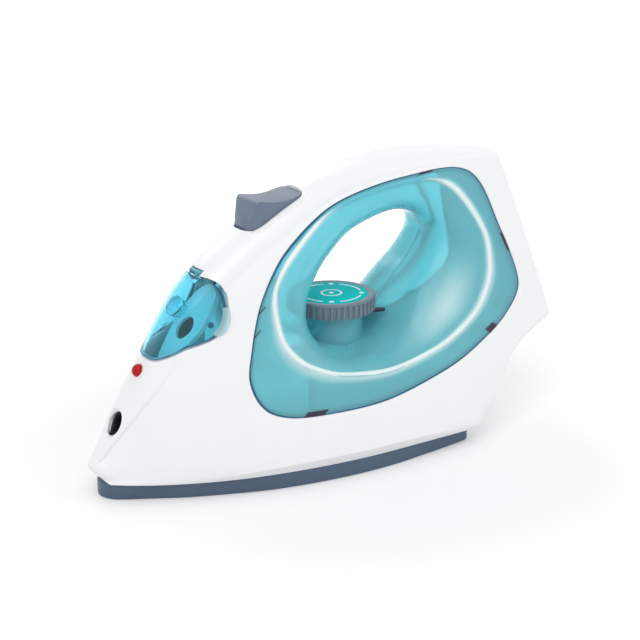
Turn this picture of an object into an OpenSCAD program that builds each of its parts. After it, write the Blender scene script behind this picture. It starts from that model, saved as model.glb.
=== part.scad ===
// Toy steam iron with a see-through hand tunnel, a turning dial and a spray button.
// Millimetres. The nose points to -X, the photographed side is -Y, the sole stands on z = 0.

/* [Body] */
// Length of the toy from nose to heel
body_len = 235; // [228:1:242]
// Half-width of the body at the belt edge just above the sole
belt_half = 46.5; // [45:0.5:48]
// Half-width of the body at the top of the handle
grip_half = 16; // [15:0.5:18]
// Wall of the white shells
shell_wall = 2; // [1.6:0.1:2.2]
// Wall of the clear side panels
panel_wall = 2; // [1.6:0.1:2.2]

/* [Sole] */
// Thickness of the soleplate
sole_thick = 7.6; // [7:0.2:8.4]
// Bevel round the top and bottom edges of the soleplate
sole_bevel = 0.9; // [0.4:0.1:1.4]

/* [Dial] */
// Diameter of the dial over its ribs
dial_d = 40.8; // [38:0.2:41.2]
// Height of the dial
dial_h = 7; // [6:0.5:8]
// Number of ribs round the dial
dial_ribs = 44; // [36:2:52]
// Diameter of the pedestal under the dial
pedestal_d = 29; // [26:0.5:30]
// Diameter of the dial shaft
shaft_d = 6; // [5:0.5:7]

/* [Spray button] */
// Width of the spray button across the nose
button_w = 19; // [17:0.5:20]
// Diameter of the pump piston
piston_d = 9.6; // [8.6:0.2:10]
// Diameter of the plunger rod
rod_d = 5; // [4:0.5:5.5]
// Wire of the return spring
spring_wire = 1; // [0.8:0.1:1.2]

/* [Nose] */
// Bore of the spray nozzle mouth
nozzle_d = 10.6; // [10:0.2:11.4]
// Diameter of the status lamp
lamp_d = 5; // [4:0.5:5.5]
// Bore of the filler hole
filler_d = 11; // [10:0.5:11.5]
// Wall of the clear nose cover
cover_wall = 1.8; // [1.5:0.1:2]

/* [Battery] */
// Diameter of one cell
cell_d = 10.5; // [10:0.1:10.8]
// Length of one cell
cell_len = 44.5; // [43:0.5:45]

/* [Fits] */
// Clearance between pieces that move past each other
gap = 0.35; // [0.3:0.05:0.45]
// Radial clearance of shafts that turn or slide in a bore
run_fit = 0.08; // [0.05:0.01:0.1]

/* [Hidden] */
$fn = 40;

// Points are drawn for a 235 mm body; their x stretches with its length.
stretch = body_len / 235;
function drawn(K) = [for (k = K) [k[0] * stretch, for (i = [1:len(k) - 1]) k[i]]];

// Outline knots in the side view as [x, z, roundness]; the same knot number lies on the same spoke.
// Body outline on the centre plane
BODY = drawn([[94, 130, 0], [42, 135.8, 1], [-6, 128, 1], [-45, 108.5, 1], [-73, 86, 1], [-96, 50.5, 1],
  [-119, 15, 0.3], [-113, sole_thick, 0], [-55, sole_thick, 1], [8, sole_thick, 1], [60, sole_thick, 0],
  [74, 20, 1], [89.5, 38, 1], [116, 50, 0], [104.45, 92, 1]]);
// Seam between a white shell and its clear panel
SEAM = drawn([[72, 124.5, 1], [36, 126.3, 1], [-2, 118.2, 1], [-29, 101.3, 1], [-44, 81.7, 1], [-52, 61, 1],
  [-54.5, 48, 1], [-48.5, 36, 1], [-34, 31.5, 1], [8, 31.7, 1], [46, 39, 1], [66, 46.2, 1], [85, 56.5, 1],
  [95.4, 70, 1], [87, 97, 1]]);
// Bright rim where the flat ring of a panel turns into the tunnel
RIM = drawn([[58, 121, 1], [30, 123.2, 1], [-4, 115.5, 1], [-26.5, 99, 1], [-37, 86, 1], [-38.5, 72, 1],
  [-36, 62, 1], [-28.5, 54, 1], [-14, 47.6, 1], [12, 44.6, 1], [42, 50, 1], [58, 56.5, 1], [70, 65, 1],
  [77.8, 79, 1], [76.5, 97.5, 1]]);
// Line where the two tunnel halves meet on the centre plane
THROAT = drawn([[48, 105.8, 1], [32, 108.7, 1], [12, 102.6, 1], [-2, 92.6, 1], [-11.5, 80, 1], [-15.5, 71, 1],
  [-15.5, 64, 1], [-12, 57.5, 1], [-4, 53, 1], [8, 51.5, 1], [22, 55.5, 1], [33, 66, 1], [41, 76, 1],
  [49.5, 84.8, 1], [55.6, 96.5, 1]]);
// Edge rounding of the body per knot: reach in the side view, depth across, share of straight chamfer
EDGE = [[6, 9, 0], [9.5, 40, 0], [9.5, 40, 0], [12, 40, 0], [12, 40, 0], [10, 40, 0], [6, 40, 0], [4, 3, 0.5],
  [5, 3.2, 1], [5, 3.2, 1], [4, 3, 0], [3, 3, 0], [3, 3, 0], [3, 3, 0], [3, 3.5, 0]];
// Edge of the nose cover: [spoke, distance back from the ridge]
COVER = [[3.735, 1.2], [3.75, 3.6], [3.78, 6.2], [3.83, 9], [3.92, 12.6], [4.05, 15.8], [4.2, 18.6],
  [4.35, 20.4], [4.46, 20.4], [4.54, 18.6], [4.59, 14.6], [4.64, 9.4], [4.69, 4.6], [4.74, 1]];
// Half outline of the soleplate as [x, half-width]
SOLE = drawn([[-114.5, 1.5], [-113, 5], [-109, 9], [-98, 15], [-83, 23], [-66, 30], [-49, 36], [-31, 40],
  [-12, 42.5], [10, 43.2], [34, 41], [54, 38.4], [58.4, 37.4], [59.4, 36]]);
knots = len(BODY);
steps = 4;
spokes = [for (i = [0:knots - 1], j = [0:steps - 1]) i + j / steps];

// Plain helpers for vectors and curves
function clamp01(v) = min(max(v, 0), 1);
function unit(v) = v / norm(v);
function xz(k) = [k[0], k[1]];
function lean(K, i) =
  let (n = len(K), p = xz(K[(i + n - 1) % n]), c = xz(K[i % n]), q = xz(K[(i + 1) % n]))
  K[i % n][2] * min(norm(c - p), norm(q - c)) * unit(q - p);
function along(K, u) =
  let (n = len(K), i = floor(u) % n, j = (i + 1) % n, t = u - floor(u))
  (2 * t * t * t - 3 * t * t + 1) * xz(K[i]) + (t * t * t - 2 * t * t + t) * lean(K, i)
  + (3 * t * t - 2 * t * t * t) * xz(K[j]) + (t * t * t - t * t) * lean(K, j);
function blend(K, u) =
  let (i = floor(u) % knots, t = u - floor(u), s = t * t * (3 - 2 * t))
  K[i] * (1 - s) + K[(i + 1) % knots] * s;
function flat(L) = [for (r = L) for (p = r) p];

// Half-width of the body at a point of the side view: narrower upward, bowed toward the nose
function ridge_x(z) = let (d = max(z - 13.5, 0)) -118 + 0.58 * d + 0.000000000023 * pow(d, 6);
function half_w(x, z) =
  let (b = belt_half - (belt_half - grip_half) * (z - 13) / 117,
    q = 0.75 - 0.2 * clamp01((z - 13) / 35),
    t = clamp01((x / stretch - ridge_x(z)) / (128 - 0.55 * (z - 13))),
    d = max(x / stretch - 8, 0) / 85)
  b * pow(max(2 * t - t * t, 0.0001), q) * (1 - 0.129 * d * d);
function on_side(p) = [p[0], -half_w(p[0], p[1]), p[1]];

// Outer skin on spoke u at distance w back from the outline
function reach(u) = min(blend(EDGE, u)[0], 0.85 * norm(along(SEAM, u) - along(BODY, u)));
function skin(u, w) =
  let (p = along(BODY, u), d = unit(along(SEAM, u) - p), e = blend(EDGE, u), a = reach(u), s = p + d * w)
  w >= a ? on_side(s)
  : let (h = half_w(p[0] + d[0] * a, p[1] + d[1] * a), b = min(e[1], h - 1.5), k = 1 - w / a,
      c = (1 - sqrt(max(1 - k * k, 0))) * (1 - e[2]) + k * e[2])
    [s[0], -(h - b * c), s[1]];
function shell_row(u) =
  let (p = along(BODY, u), l = norm(along(SEAM, u) - p), a = reach(u))
  [skin(u, l), skin(u, a + (l - a) * 0.67), skin(u, a + (l - a) * 0.33), skin(u, a), skin(u, a * 0.5),
    skin(u, a * 0.134), skin(u, 0), [p[0], 0, p[1]]];
function panel_row(u) =
  let (q = along(SEAM, u), r = along(RIM, u), m = along(THROAT, u), h = half_w(r[0], r[1]))
  [on_side(q), on_side((q + r) / 2), on_side(r),
    for (s = [0.3, 0.58, 0.8, 0.94]) let (c = r + (m - r) * s)
      [c[0], -h * (0.86 * pow(1 - pow(s, 3.4), 1 / 3.4) + 0.14 * (1 - s)), c[1]],
    [m[0], 0, m[1]]];

// Normals of a grid whose rows run round the body; the last column lies on the centre plane
function grid_normal(G, i, j, side) =
  let (n = len(G), m = len(G[0]) - 1, du = G[(i + 1) % n][j] - G[(i + n - 1) % n][j],
    dv = j == m ? [0, -2 * G[i][m - 1][1], 0] : j == 0 ? G[i][1] - G[i][0] : G[i][j + 1] - G[i][j - 1])
  side * unit(cross(dv, du));
SHELL_OUT = [for (u = spokes) shell_row(u)];
PANEL_OUT = [for (u = spokes) panel_row(u)];
SHELL_IN = [for (i = [0:len(spokes) - 1]) [for (j = [0:len(SHELL_OUT[0]) - 1])
  SHELL_OUT[i][j] - shell_wall * grid_normal(SHELL_OUT, i, j, 1)]];
PANEL_IN = [for (i = [0:len(spokes) - 1]) [for (j = [0:len(PANEL_OUT[0]) - 1])
  j == 0 ? SHELL_IN[i][0] : PANEL_OUT[i][j] - panel_wall * grid_normal(PANEL_OUT, i, j, -1)]];

// Closed ring of skin made of an outer and an inner grid
module ring_skin(A, B, flip) {
  n = len(A);
  m = len(A[0]);
  o = n * m;
  tri = flat([for (i = [0:n - 1]) let (k = (i + 1) % n) concat(
    flat([for (j = [0:m - 2]) let (a = i * m + j, b = k * m + j)
      [[a, b, b + 1], [a, b + 1, a + 1], [o + a, o + b + 1, o + b], [o + a, o + a + 1, o + b + 1]]]),
    [[k * m, i * m, o + i * m], [k * m, o + i * m, o + k * m],
      [i * m + m - 1, k * m + m - 1, o + k * m + m - 1],
      [i * m + m - 1, o + k * m + m - 1, o + i * m + m - 1]])]);
  polyhedron(concat(flat(A), flat(B)), flip ? [for (t = tri) [t[0], t[2], t[1]]] : tri, convexity = 12);
}

// Tube round a path of points, closed at both ends
module path_tube(path, r, sides) {
  n = len(path);
  rings = [for (i = [0:n - 1])
    let (t = unit(path[min(i + 1, n - 1)] - path[max(i - 1, 0)]),
      a = unit(cross(t, [0.31, 0.92, 0.23])), b = cross(t, a))
    for (k = [0:sides - 1]) path[i] + r * (a * cos(360 * k / sides) + b * sin(360 * k / sides))];
  polyhedron(rings, concat(
    [[for (k = [0:sides - 1]) k]],
    flat([for (i = [0:n - 2]) flat([for (k = [0:sides - 1])
      let (a = i * sides + k, b = i * sides + (k + 1) % sides)
      [[a, a + sides, b + sides], [a, b + sides, b]]])]),
    [[for (k = [0:sides - 1]) (n - 1) * sides + sides - 1 - k]]), convexity = 6);
}
// Smooth open path through a few points
function path_pt(K, u) =
  let (n = len(K), i = min(floor(u), n - 2), t = u - i, a = K[max(i - 1, 0)], b = K[i], c = K[i + 1],
    d = K[min(i + 2, n - 1)])
  0.5 * (2 * b + (c - a) * t + (2 * a - 5 * b + 4 * c - d) * t * t + (3 * b - a - 3 * c + d) * t * t * t);
function smooth_path(K, per) = [for (i = [0:(len(K) - 1) * per]) path_pt(K, i / per)];

// Places of the small pieces
dial_x = 6.3 * stretch;
dial_top = 72.2;
dial_low = dial_top - dial_h;
frame_top = 43;
floor_z = sole_thick + shell_wall;
pump_x = -30 * stretch;
pump_low = 45;
pump_high = 84;
function face_a(u) = let (t = along(BODY, u - 0.05) - along(BODY, u + 0.05)) -atan2(t[1], t[0]);
lamp_p = along(BODY, 4.9);
lamp_a = face_a(4.9);
nozzle_p = along(BODY, 5.4);
nozzle_a = -62;
hinge_p = [-63.2 * stretch, 93.4];
filler_p = [-70.5 * stretch, 69.5];
nose_a = face_a(4.05);
hinge_a = nose_a + 1.5;
neck_x = filler_p[0] + 2;
// the stopper under the cover ends in the cover's wall
stopper_low = 1.2;
stopper_top = (along(BODY, 4.2) - filler_p) * [sin(nose_a), cos(nose_a)] - cover_wall - 0.6;
// the battery door lies in the straight heel face
heel_top = xz(BODY[0]);
heel_low = xz(BODY[13]);
battery_p = heel_top + 0.575 * (heel_low - heel_top);
battery_a = -atan2(heel_low[0] - heel_top[0], heel_top[1] - heel_low[1]);
// screws through the shells as [x, z, distance of the boss end from the skin]
shell_screw_at = drawn([[-97, 18, 0.7], [-50, 92, -1.4], [86, 121.5, 0.8], [84, 44, 0.8], [66, 20.5, 0.8]]);
sole_screw_at = drawn([[-84, 12], [50, 22]]);
// battery box and the opening of its door in the heel, from the size of the cells
box_half = cell_len / 2 + 1.2;
door_half = cell_d + 0.5;
door_low = -box_half - 0.55;
door_high = box_half + 8.55;
door_screw_z = box_half + 4.6;
boss_r = 4.4;
shell_pilot = 1.45;

module at_xz(p, a) translate([p[0], 0, p[1]]) rotate([0, a, 0]) children();
function boss_end(p) =
  min([for (k = [0:45:315]) half_w(p[0] + boss_r * cos(k), p[1] + boss_r * sin(k))]) - p[2];
function seat_y(p) = 0.55 * half_w(p[0], p[1]);

// Opening of the nose cover, cut straight across: clear of the cover's outer and inner edge
function cover_edge(i) =
  let (u = COVER[i][0], p = along(BODY, u), d = unit(along(SEAM, u) - p),
    o = COVER_OUT[i][0], n = COVER_IN[i][0], t = unit(along(BODY, u + 0.05) - along(BODY, u - 0.05)),
    w = max(([o[0], o[2]] - p) * d, ([n[0], n[2]] - p) * d))
  p + d * (w + gap + 0.2) + t * (i < 5 ? -0.9 : i > 9 ? 1.25 : i > 7 ? 0.9 : 0);
module cover_opening() {
  last = len(COVER) - 1;
  a = along(BODY, COVER[0][0] - 0.025);
  b = along(BODY, COVER[last][0] + 0.032);
  rotate([90, 0, 0]) linear_extrude(height = 80, center = true)
    polygon(concat([a + 6 * [-0.66, 0.75], a], [for (i = [0:last]) cover_edge(i)],
      [b, b + 6 * [-0.86, 0.51], [-95 * stretch, 92]]));
}

// Everything cut from both shells alike
module shell_cuts() {
  // slot of the spray button
  translate([0, 0, 92]) linear_extrude(height = 45) button_plan(gap);
  // nozzle mouth with its shallow funnel
  at_xz(nozzle_p, nozzle_a) {
    translate([0, 0, -16]) cylinder(d = nozzle_d, h = 24);
    translate([0, 0, -2.6]) cylinder(d1 = nozzle_d - 2, d2 = nozzle_d + 8, h = 5);
  }
  at_xz(lamp_p, lamp_a) translate([0, 0, -8]) cylinder(d = lamp_d, h = 14);
  cover_opening();
  // notch for the hinge barrel, and the pin hole
  translate([hinge_p[0], 0, hinge_p[1]]) rotate([90, 0, 0]) {
    cylinder(r = 1.6 + gap, h = 9.7, center = true);
    cylinder(r = 0.8, h = 13.6, center = true, $fn = 24);
  }
  at_xz(hinge_p, hinge_a) translate([-5, -4.6, -1.3]) cube([5, 9.2, 8]);
  // battery door
  at_xz(battery_p, battery_a) translate([-4, -door_half, door_low])
    cube([8, 2 * door_half, door_high - door_low]);
  for (p = sole_screw_at, s = [-1, 1])
    translate([p[0], s * p[1], -1]) cylinder(r = 1.5, h = 24);
}
module sole_bosses() {
  for (p = sole_screw_at)
    translate([p[0], -p[1], sole_thick + 0.6]) cylinder(r = 3.6, h = 12);
}

module left_shell() color("white") difference() {
  union() {
    ring_skin(SHELL_OUT, SHELL_IN, false);
    for (p = shell_screw_at)
      translate([p[0], 0, p[1]]) rotate([90, 0, 0]) cylinder(r = boss_r, h = boss_end(p));
    sole_bosses();
  }
  shell_cuts();
  for (p = shell_screw_at)
    translate([p[0], 1, p[1]]) rotate([90, 0, 0])
      cylinder(r = shell_pilot, h = 0.45 * half_w(p[0], p[1]) + 1.5);
}
module right_shell() color("white") difference() {
  mirror([0, 1, 0]) union() {
    ring_skin(SHELL_OUT, SHELL_IN, false);
    for (p = shell_screw_at)
      translate([p[0], 0, p[1]]) rotate([90, 0, 0]) cylinder(r = boss_r, h = boss_end(p));
    sole_bosses();
  }
  shell_cuts();
  for (p = shell_screw_at) {
    translate([p[0], -1, p[1]]) rotate([-90, 0, 0]) cylinder(r = shell_pilot, h = seat_y(p) + 2);
    translate([p[0], seat_y(p), p[1]]) rotate([-90, 0, 0]) cylinder(r = 3, h = 40);
  }
}

module pedestal_cut() translate([dial_x, 0, 38]) cylinder(d = pedestal_d + 0.4, h = 22);
module left_panel() color([0.35, 0.78, 0.86, 0.6]) difference() {
  ring_skin(PANEL_OUT, PANEL_IN, true);
  pedestal_cut();
}
module right_panel() color([0.35, 0.78, 0.86, 0.6]) difference() {
  mirror([0, 1, 0]) ring_skin(PANEL_OUT, PANEL_IN, true);
  pedestal_cut();
}

// Soleplate: one plan outline on four levels
function sole_half(n) = [for (i = [0:n]) path_pt(SOLE, (len(SOLE) - 1) * i / n)];
SOLE_RING = let (h = sole_half(30)) concat([for (p = h) [p[0], -p[1]]], [for (i = [30:-1:0]) h[i]]);
function sole_inset(b) =
  let (n = len(SOLE_RING)) [for (i = [0:n - 1])
    let (t = unit(SOLE_RING[(i + 1) % n] - SOLE_RING[(i + n - 1) % n])) SOLE_RING[i] + b * [-t[1], t[0]]];
module sole_block() {
  n = len(SOLE_RING);
  lv = [[0, sole_bevel], [sole_bevel, 0], [sole_thick - sole_bevel, 0], [sole_thick, sole_bevel]];
  polyhedron(flat([for (l = lv) [for (p = sole_inset(l[1])) [p[0], p[1], l[0]]]]), concat(
    [[for (i = [0:n - 1]) i]],
    flat([for (k = [0:2]) flat([for (i = [0:n - 1]) let (a = k * n + i, b = k * n + (i + 1) % n)
      [[a, a + n, b + n], [a, b + n, b]]])]),
    [[for (i = [0:n - 1]) 4 * n - 1 - i]]), convexity = 4);
}
module soleplate() color("slategray") difference() {
  sole_block();
  for (p = sole_screw_at, s = [-1, 1]) translate([p[0], s * p[1], -1]) {
    cylinder(r = 1.5, h = 20);
    cylinder(r = 3.4, h = 4);
  }
}
module sole_screws() color("silver") for (p = sole_screw_at, s = [-1, 1]) translate([p[0], s * p[1], 0])
  difference() {
    union() {
      translate([0, 0, 3]) cylinder(r = 1.5, h = 14);
      translate([0, 0, 1]) cylinder(r = 3, h = 2);
    }
    for (a = [0, 90]) rotate(a) translate([-1.8, -0.4, 0]) cube([3.6, 0.8, 1.9]);
  }
module shell_screws() color("silver") for (p = shell_screw_at)
  translate([p[0], seat_y(p), p[1]]) rotate([90, 0, 0]) difference() {
    union() {
      cylinder(r = shell_pilot, h = seat_y(p) + 0.45 * half_w(p[0], p[1]));
      translate([0, 0, -2]) cylinder(r = 2.7, h = 2);
    }
    for (a = [0, 90]) rotate(a) translate([-1.7, -0.4, -3]) cube([3.4, 0.8, 1.9]);
  }

// Dial and what carries it
function rib_ring(r, depth, n) = [for (i = [0:n - 1], k = [0:3])
  let (a = 360 * (i + [0.05, 0.5, 0.6, 0.95][k]) / n) (k < 2 ? r : r - depth) * [cos(a), sin(a)]];
module dial_knob() color("dimgray") translate([dial_x, 0, 0]) difference() {
  union() {
    translate([0, 0, dial_low]) linear_extrude(height = dial_h - 1)
      polygon(rib_ring(dial_d / 2, 0.8, dial_ribs));
    translate([0, 0, dial_top - 1]) cylinder(d1 = dial_d - 0.2, d2 = dial_d - 1.4, h = 1, $fn = 96);
  }
  translate([0, 0, dial_top - 0.4]) cylinder(r = dial_d * 0.415, h = 2, $fn = 72);
  difference() {
    translate([0, 0, dial_low - 1]) cylinder(d = dial_d - 6, h = dial_h - 1.2, $fn = 72);
    translate([0, 0, dial_low - 2]) cylinder(d = shaft_d + 6, h = dial_h + 4);
  }
  translate([0, 0, dial_low - 1]) cylinder(d = shaft_d, h = 1 + dial_h - 2.2);
}
module dial_label() color("teal") translate([dial_x, 0, dial_top - 0.4])
  cylinder(r = dial_d * 0.415, h = 0.4, $fn = 72);
module dial_shaft() color("gray") translate([dial_x, 0, 36]) cylinder(d = shaft_d, h = dial_top - 2.2 - 36);
module dial_pedestal() color([0.35, 0.78, 0.86, 0.6]) translate([dial_x, 0, frame_top]) difference() {
  cylinder(d = pedestal_d, h = dial_low - 0.5 - frame_top);
  translate([0, 0, -1]) cylinder(d = pedestal_d - 4, h = dial_low - 0.5 - frame_top - 1.2);
  cylinder(r = shaft_d / 2 + run_fit, h = 60);
}
module dial_pointer() color("darkslateblue") translate([dial_x, 0, dial_low - 2.4]) rotate(-30) difference() {
  linear_extrude(height = 1.7)
    polygon([[pedestal_d / 2 - 1, -1.6], [dial_d / 2 + 1.6, -1.6], [dial_d / 2 + 4.6, 0],
      [dial_d / 2 + 1.6, 1.6], [pedestal_d / 2 - 1, 1.6]]);
  translate([0, 0, -1]) cylinder(d = pedestal_d, h = 4);
}
module dial_switch() color("black") translate([dial_x, 0, 31]) difference() {
  cylinder(r = 10, h = frame_top - 2 - 31);
  translate([0, 0, 4.6]) cylinder(r = shaft_d / 2 + run_fit, h = 12);
}
module inner_frame() color("whitesmoke") difference() {
  translate([dial_x - 20.3, -18, floor_z]) cube([59, 36, frame_top - floor_z]);
  translate([dial_x - 18.3, -16, floor_z - 1]) cube([55, 32, frame_top - 2 - floor_z + 1]);
  translate([dial_x, 0, 30]) cylinder(r = shaft_d / 2 + 0.4, h = 20);
  translate([dial_x + 33.7, 8, floor_z - 1]) cube([10, 6, 8]);
  translate([dial_x - 26.3, 8, floor_z - 1]) cube([10, 6, 8]);
}

// Spray button, return spring and pump
module button_plan(g) offset(delta = g) hull() {
  for (s = [-1, 1]) {
    translate([pump_x - 4.4, s * (button_w / 2 - 8)]) circle(r = 8, $fn = 32);
    translate([pump_x + 11.5, s * (button_w / 2 - 4.5)]) circle(r = 4.5, $fn = 32);
  }
}
module button_side(d, low) translate([pump_x, 0, 0]) rotate([90, 0, 0])
  linear_extrude(height = 40, center = true)
    polygon([[-14, 101 - low], [17, 111 - low], [17, 119.4 - d], [14.5, 120.6 - d], [3, 119.4 - d],
      [-6.4, 121 - d], [-8.4, 119.8 - d], [-12.6, 104]]);
module spray_button() color("slategray") difference() {
  union() {
    difference() {
      intersection() {
        translate([0, 0, 95]) linear_extrude(height = 40) button_plan(0);
        button_side(0, 0);
      }
      intersection() {
        translate([0, 0, 90]) linear_extrude(height = 40) button_plan(-1.8);
        button_side(2, 12);
      }
    }
    translate([pump_x, 0, 105]) cylinder(r = 6.6, h = 13);
  }
  translate([pump_x, 0, 100]) cylinder(d = rod_d, h = 15);
}
module pump_plunger() color("ivory") translate([pump_x, 0, 0]) {
  translate([0, 0, 66]) cylinder(d = rod_d, h = 49);
  translate([0, 0, 60]) cylinder(d = piston_d, h = 6);
}
module pump_body() color("whitesmoke") translate([pump_x, 0, 0]) difference() {
  union() {
    translate([0, 0, pump_low]) cylinder(d = piston_d + 4.4, h = pump_high - pump_low);
    translate([0, 0, pump_low]) cylinder(d = piston_d + 9, h = 2);
  }
  translate([0, 0, pump_low + 3]) cylinder(r = piston_d / 2 + run_fit, h = pump_high - pump_low - 5);
  translate([0, 0, 70]) cylinder(r = rod_d / 2 + run_fit, h = 30);
  translate([0, 0, pump_low - 1]) cylinder(r = 1.5, h = 6, $fn = 24);
  translate([0, 0, pump_low + 6]) rotate([0, -90, 0]) cylinder(r = 1.5, h = 12, $fn = 24);
}
spring_turns = 7;
spring_r = 5.2;
spring_low = pump_high + spring_wire / 2;
spring_rise = 105 - pump_high - spring_wire;
echo(str("least gap between spring curls: ", spring_rise / spring_turns - spring_wire));
function spring_pt(t) = [pump_x + spring_r * cos(360 * t), spring_r * sin(360 * t),
  spring_low + spring_rise * t / spring_turns];
module button_spring() color("silver")
  path_tube([for (i = [0:spring_turns * 8]) spring_pt(i / 8)], spring_wire / 2, 6);

// Water ways
module intake_tube() color("lightgray") translate([pump_x, 0, 13]) difference() {
  cylinder(r = 1.5, h = pump_low + 2 - 13, $fn = 24);
  translate([0, 0, -1]) cylinder(r = 0.8, h = 60, $fn = 24);
}
hose_a = [pump_x - piston_d / 2 - 2.2, 0, pump_low + 6];
nozzle_d3 = [-sin(-nozzle_a), 0, cos(nozzle_a)];
hose_b = [nozzle_p[0], 0, nozzle_p[1]] - 16 * nozzle_d3;
hose_route = concat([hose_a + [1.5, 0, 0], hose_a + [-2, 0, 0], hose_a + [-6, 0, 0.2]],
  drawn([[-50, 6, 54], [-60, 10, 53], [-76, 7, 49.5], [-85, 0, 38]]), [hose_b - 5 * nozzle_d3, hose_b]);
module spray_hose() color([0.85, 0.9, 0.92]) path_tube(smooth_path(hose_route, 5), 1.5, 8);
module spray_nozzle() color("black") at_xz(nozzle_p, nozzle_a) difference() {
  translate([0, 0, -16]) cylinder(d = nozzle_d, h = 15.2);
  translate([0, 0, -11]) cylinder(d = nozzle_d - 2, h = 20);
  translate([0, 0, -17]) cylinder(r = 0.8, h = 8, $fn = 24);
}
tank_plan = drawn([[-78, -13], [-60, -22], [-22, -24], [-22, 24], [-60, 22], [-78, 13]]);
module water_tank() color([0.9, 0.95, 0.97]) difference() {
  translate([0, 0, floor_z]) linear_extrude(height = pump_low - floor_z) polygon(tank_plan);
  translate([0, 0, floor_z + 1.6]) linear_extrude(height = pump_low - floor_z - 3.2)
    offset(delta = -1.6) polygon(tank_plan);
  translate([neck_x, 0, 40]) cylinder(r = 7, h = 20);
  translate([pump_x, 0, 40]) cylinder(r = 1.5, h = 20, $fn = 24);
}
module filler_neck() color("whitesmoke") difference() {
  union() {
    at_xz(filler_p, nose_a) translate([0, 0, -2]) linear_extrude(height = 2) hull() {
      translate([-13, 0]) circle(r = 7, $fn = 32);
      translate([4, 0]) circle(r = 11.8, $fn = 32);
      translate([13, 0]) circle(r = 9, $fn = 32);
    }
    difference() {
      translate([neck_x, 0, pump_low - 1.6]) cylinder(r = 7, h = 36);
      at_xz(filler_p, nose_a) translate([-30, -20, -1]) cube([60, 40, 40]);
    }
  }
  translate([neck_x, 0, pump_low - 3]) cylinder(r = filler_d / 2 - 0.1, h = 20.5);
  at_xz(filler_p, nose_a) translate([0, 0, -6]) cylinder(d = filler_d, h = 12);
}
module filler_valve() color("black") at_xz(filler_p, nose_a) translate([0, 0, -3]) difference() {
  cylinder(d = filler_d, h = 1.6);
  translate([0, 0, -1]) cylinder(r = 1, h = 4, $fn = 24);
}

// Clear nose cover: a patch of the same skin with a barrel, two tabs and a stopper
function cover_row(c) =
  let (near = [for (k = [0:4]) skin(c[0], c[1] * (1 - sin(18 * k)))], p = along(BODY, c[0]))
  concat(near, [[p[0], 0, p[1]]], [for (k = [4:-1:0]) [near[k][0], -near[k][1], near[k][2]]]);
COVER_OUT = [for (c = COVER) cover_row(c)];
function open_normal(G, i, j) =
  let (n = len(G) - 1, m = len(G[0]) - 1)
  unit(cross(G[i][min(j + 1, m)] - G[i][max(j - 1, 0)], G[min(i + 1, n)][j] - G[max(i - 1, 0)][j]));
// Inner face of the cover, with a thinner lip along every edge
COVER_IN = [for (i = [0:len(COVER) - 1]) [for (j = [0:10])
  let (lip = i == 0 || i == len(COVER) - 1 || j == 0 || j == 10)
  COVER_OUT[i][j] - (lip ? cover_wall / 2 : cover_wall) * open_normal(COVER_OUT, i, j)]];
module patch_skin(A, B) {
  n = len(A);
  m = len(A[0]);
  o = n * m;
  polyhedron(concat(flat(A), flat(B)), concat(
    flat([for (i = [0:n - 2]) flat([for (j = [0:m - 2]) let (a = i * m + j, b = a + m)
      [[a, b, b + 1], [a, b + 1, a + 1], [o + a, o + b + 1, o + b], [o + a, o + a + 1, o + b + 1]]])]),
    flat([for (i = [0:n - 2]) let (a = i * m, b = a + m, c = a + m - 1, d = b + m - 1)
      [[b, a, o + a], [b, o + a, o + b], [c, d, o + d], [c, o + d, o + c]]]),
    flat([for (j = [0:m - 2]) let (a = j, b = (n - 1) * m + j)
      [[a, a + 1, o + a + 1], [a, o + a + 1, o + a], [b + 1, b, o + b], [b + 1, o + b, o + b + 1]]])),
    convexity = 8);
}
// Finger tab: a straight L-shaped bar along the edge that lies just clear of the shell
module cover_tab() {
  c = skin(4.38, 20.4);
  t = unit(skin(4.5, 20.4) - skin(4.26, 20.4));
  n = unit(cross(t, skin(4.38, 21.4) - c));
  b = cross(n, t);
  multmatrix([[t[0], b[0], n[0], c[0]], [t[1], b[1], n[1], c[1]], [t[2], b[2], n[2], c[2]]])
    rotate([90, 0, 90]) linear_extrude(height = 14, center = true)
      polygon([[-3.6, -0.7], [-2, -0.7], [-2, 0.5], [1.4, 0.5], [1.4, 1.3], [-3.6, 1.3]]);
}
module nose_cover() color([0.35, 0.78, 0.86, 0.6]) difference() {
  union() {
    patch_skin(COVER_OUT, COVER_IN);
    cover_tab();
    mirror([0, 1, 0]) cover_tab();
    translate([hinge_p[0], 0, hinge_p[1]]) rotate([90, 0, 0]) cylinder(r = 1.6, h = 9, center = true);
    at_xz(hinge_p, hinge_a) translate([-5, -4.2, -0.4]) cube([5, 8.4, 1.6]);
    at_xz(filler_p, nose_a) translate([0, 0, stopper_low])
      cylinder(d = filler_d - 2, h = stopper_top - stopper_low);
  }
  translate([hinge_p[0], 0, hinge_p[1]]) rotate([90, 0, 0])
    cylinder(r = 0.8 + run_fit, h = 30, center = true, $fn = 24);
  at_xz(filler_p, nose_a) translate([0, 0, 0.2]) cylinder(d = filler_d - 4.4, h = 5);
}
module cover_pin() color("silver") translate([hinge_p[0], 0, hinge_p[1]]) rotate([90, 0, 0])
  cylinder(r = 0.8, h = 13, center = true, $fn = 24);

// Lamp
module status_lamp() color("darkred") at_xz(lamp_p, lamp_a) {
  translate([0, 0, -6]) cylinder(d = lamp_d, h = 6.2);
  intersection() {
    translate([0, 0, 0.2]) sphere(d = lamp_d);
    translate([-6, -6, 0.2]) cube([12, 12, 6]);
  }
}
module lamp_board() color("darkgreen") at_xz(lamp_p, lamp_a) translate([-6, -5, -7.6]) cube([12, 10, 1.6]);

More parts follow.
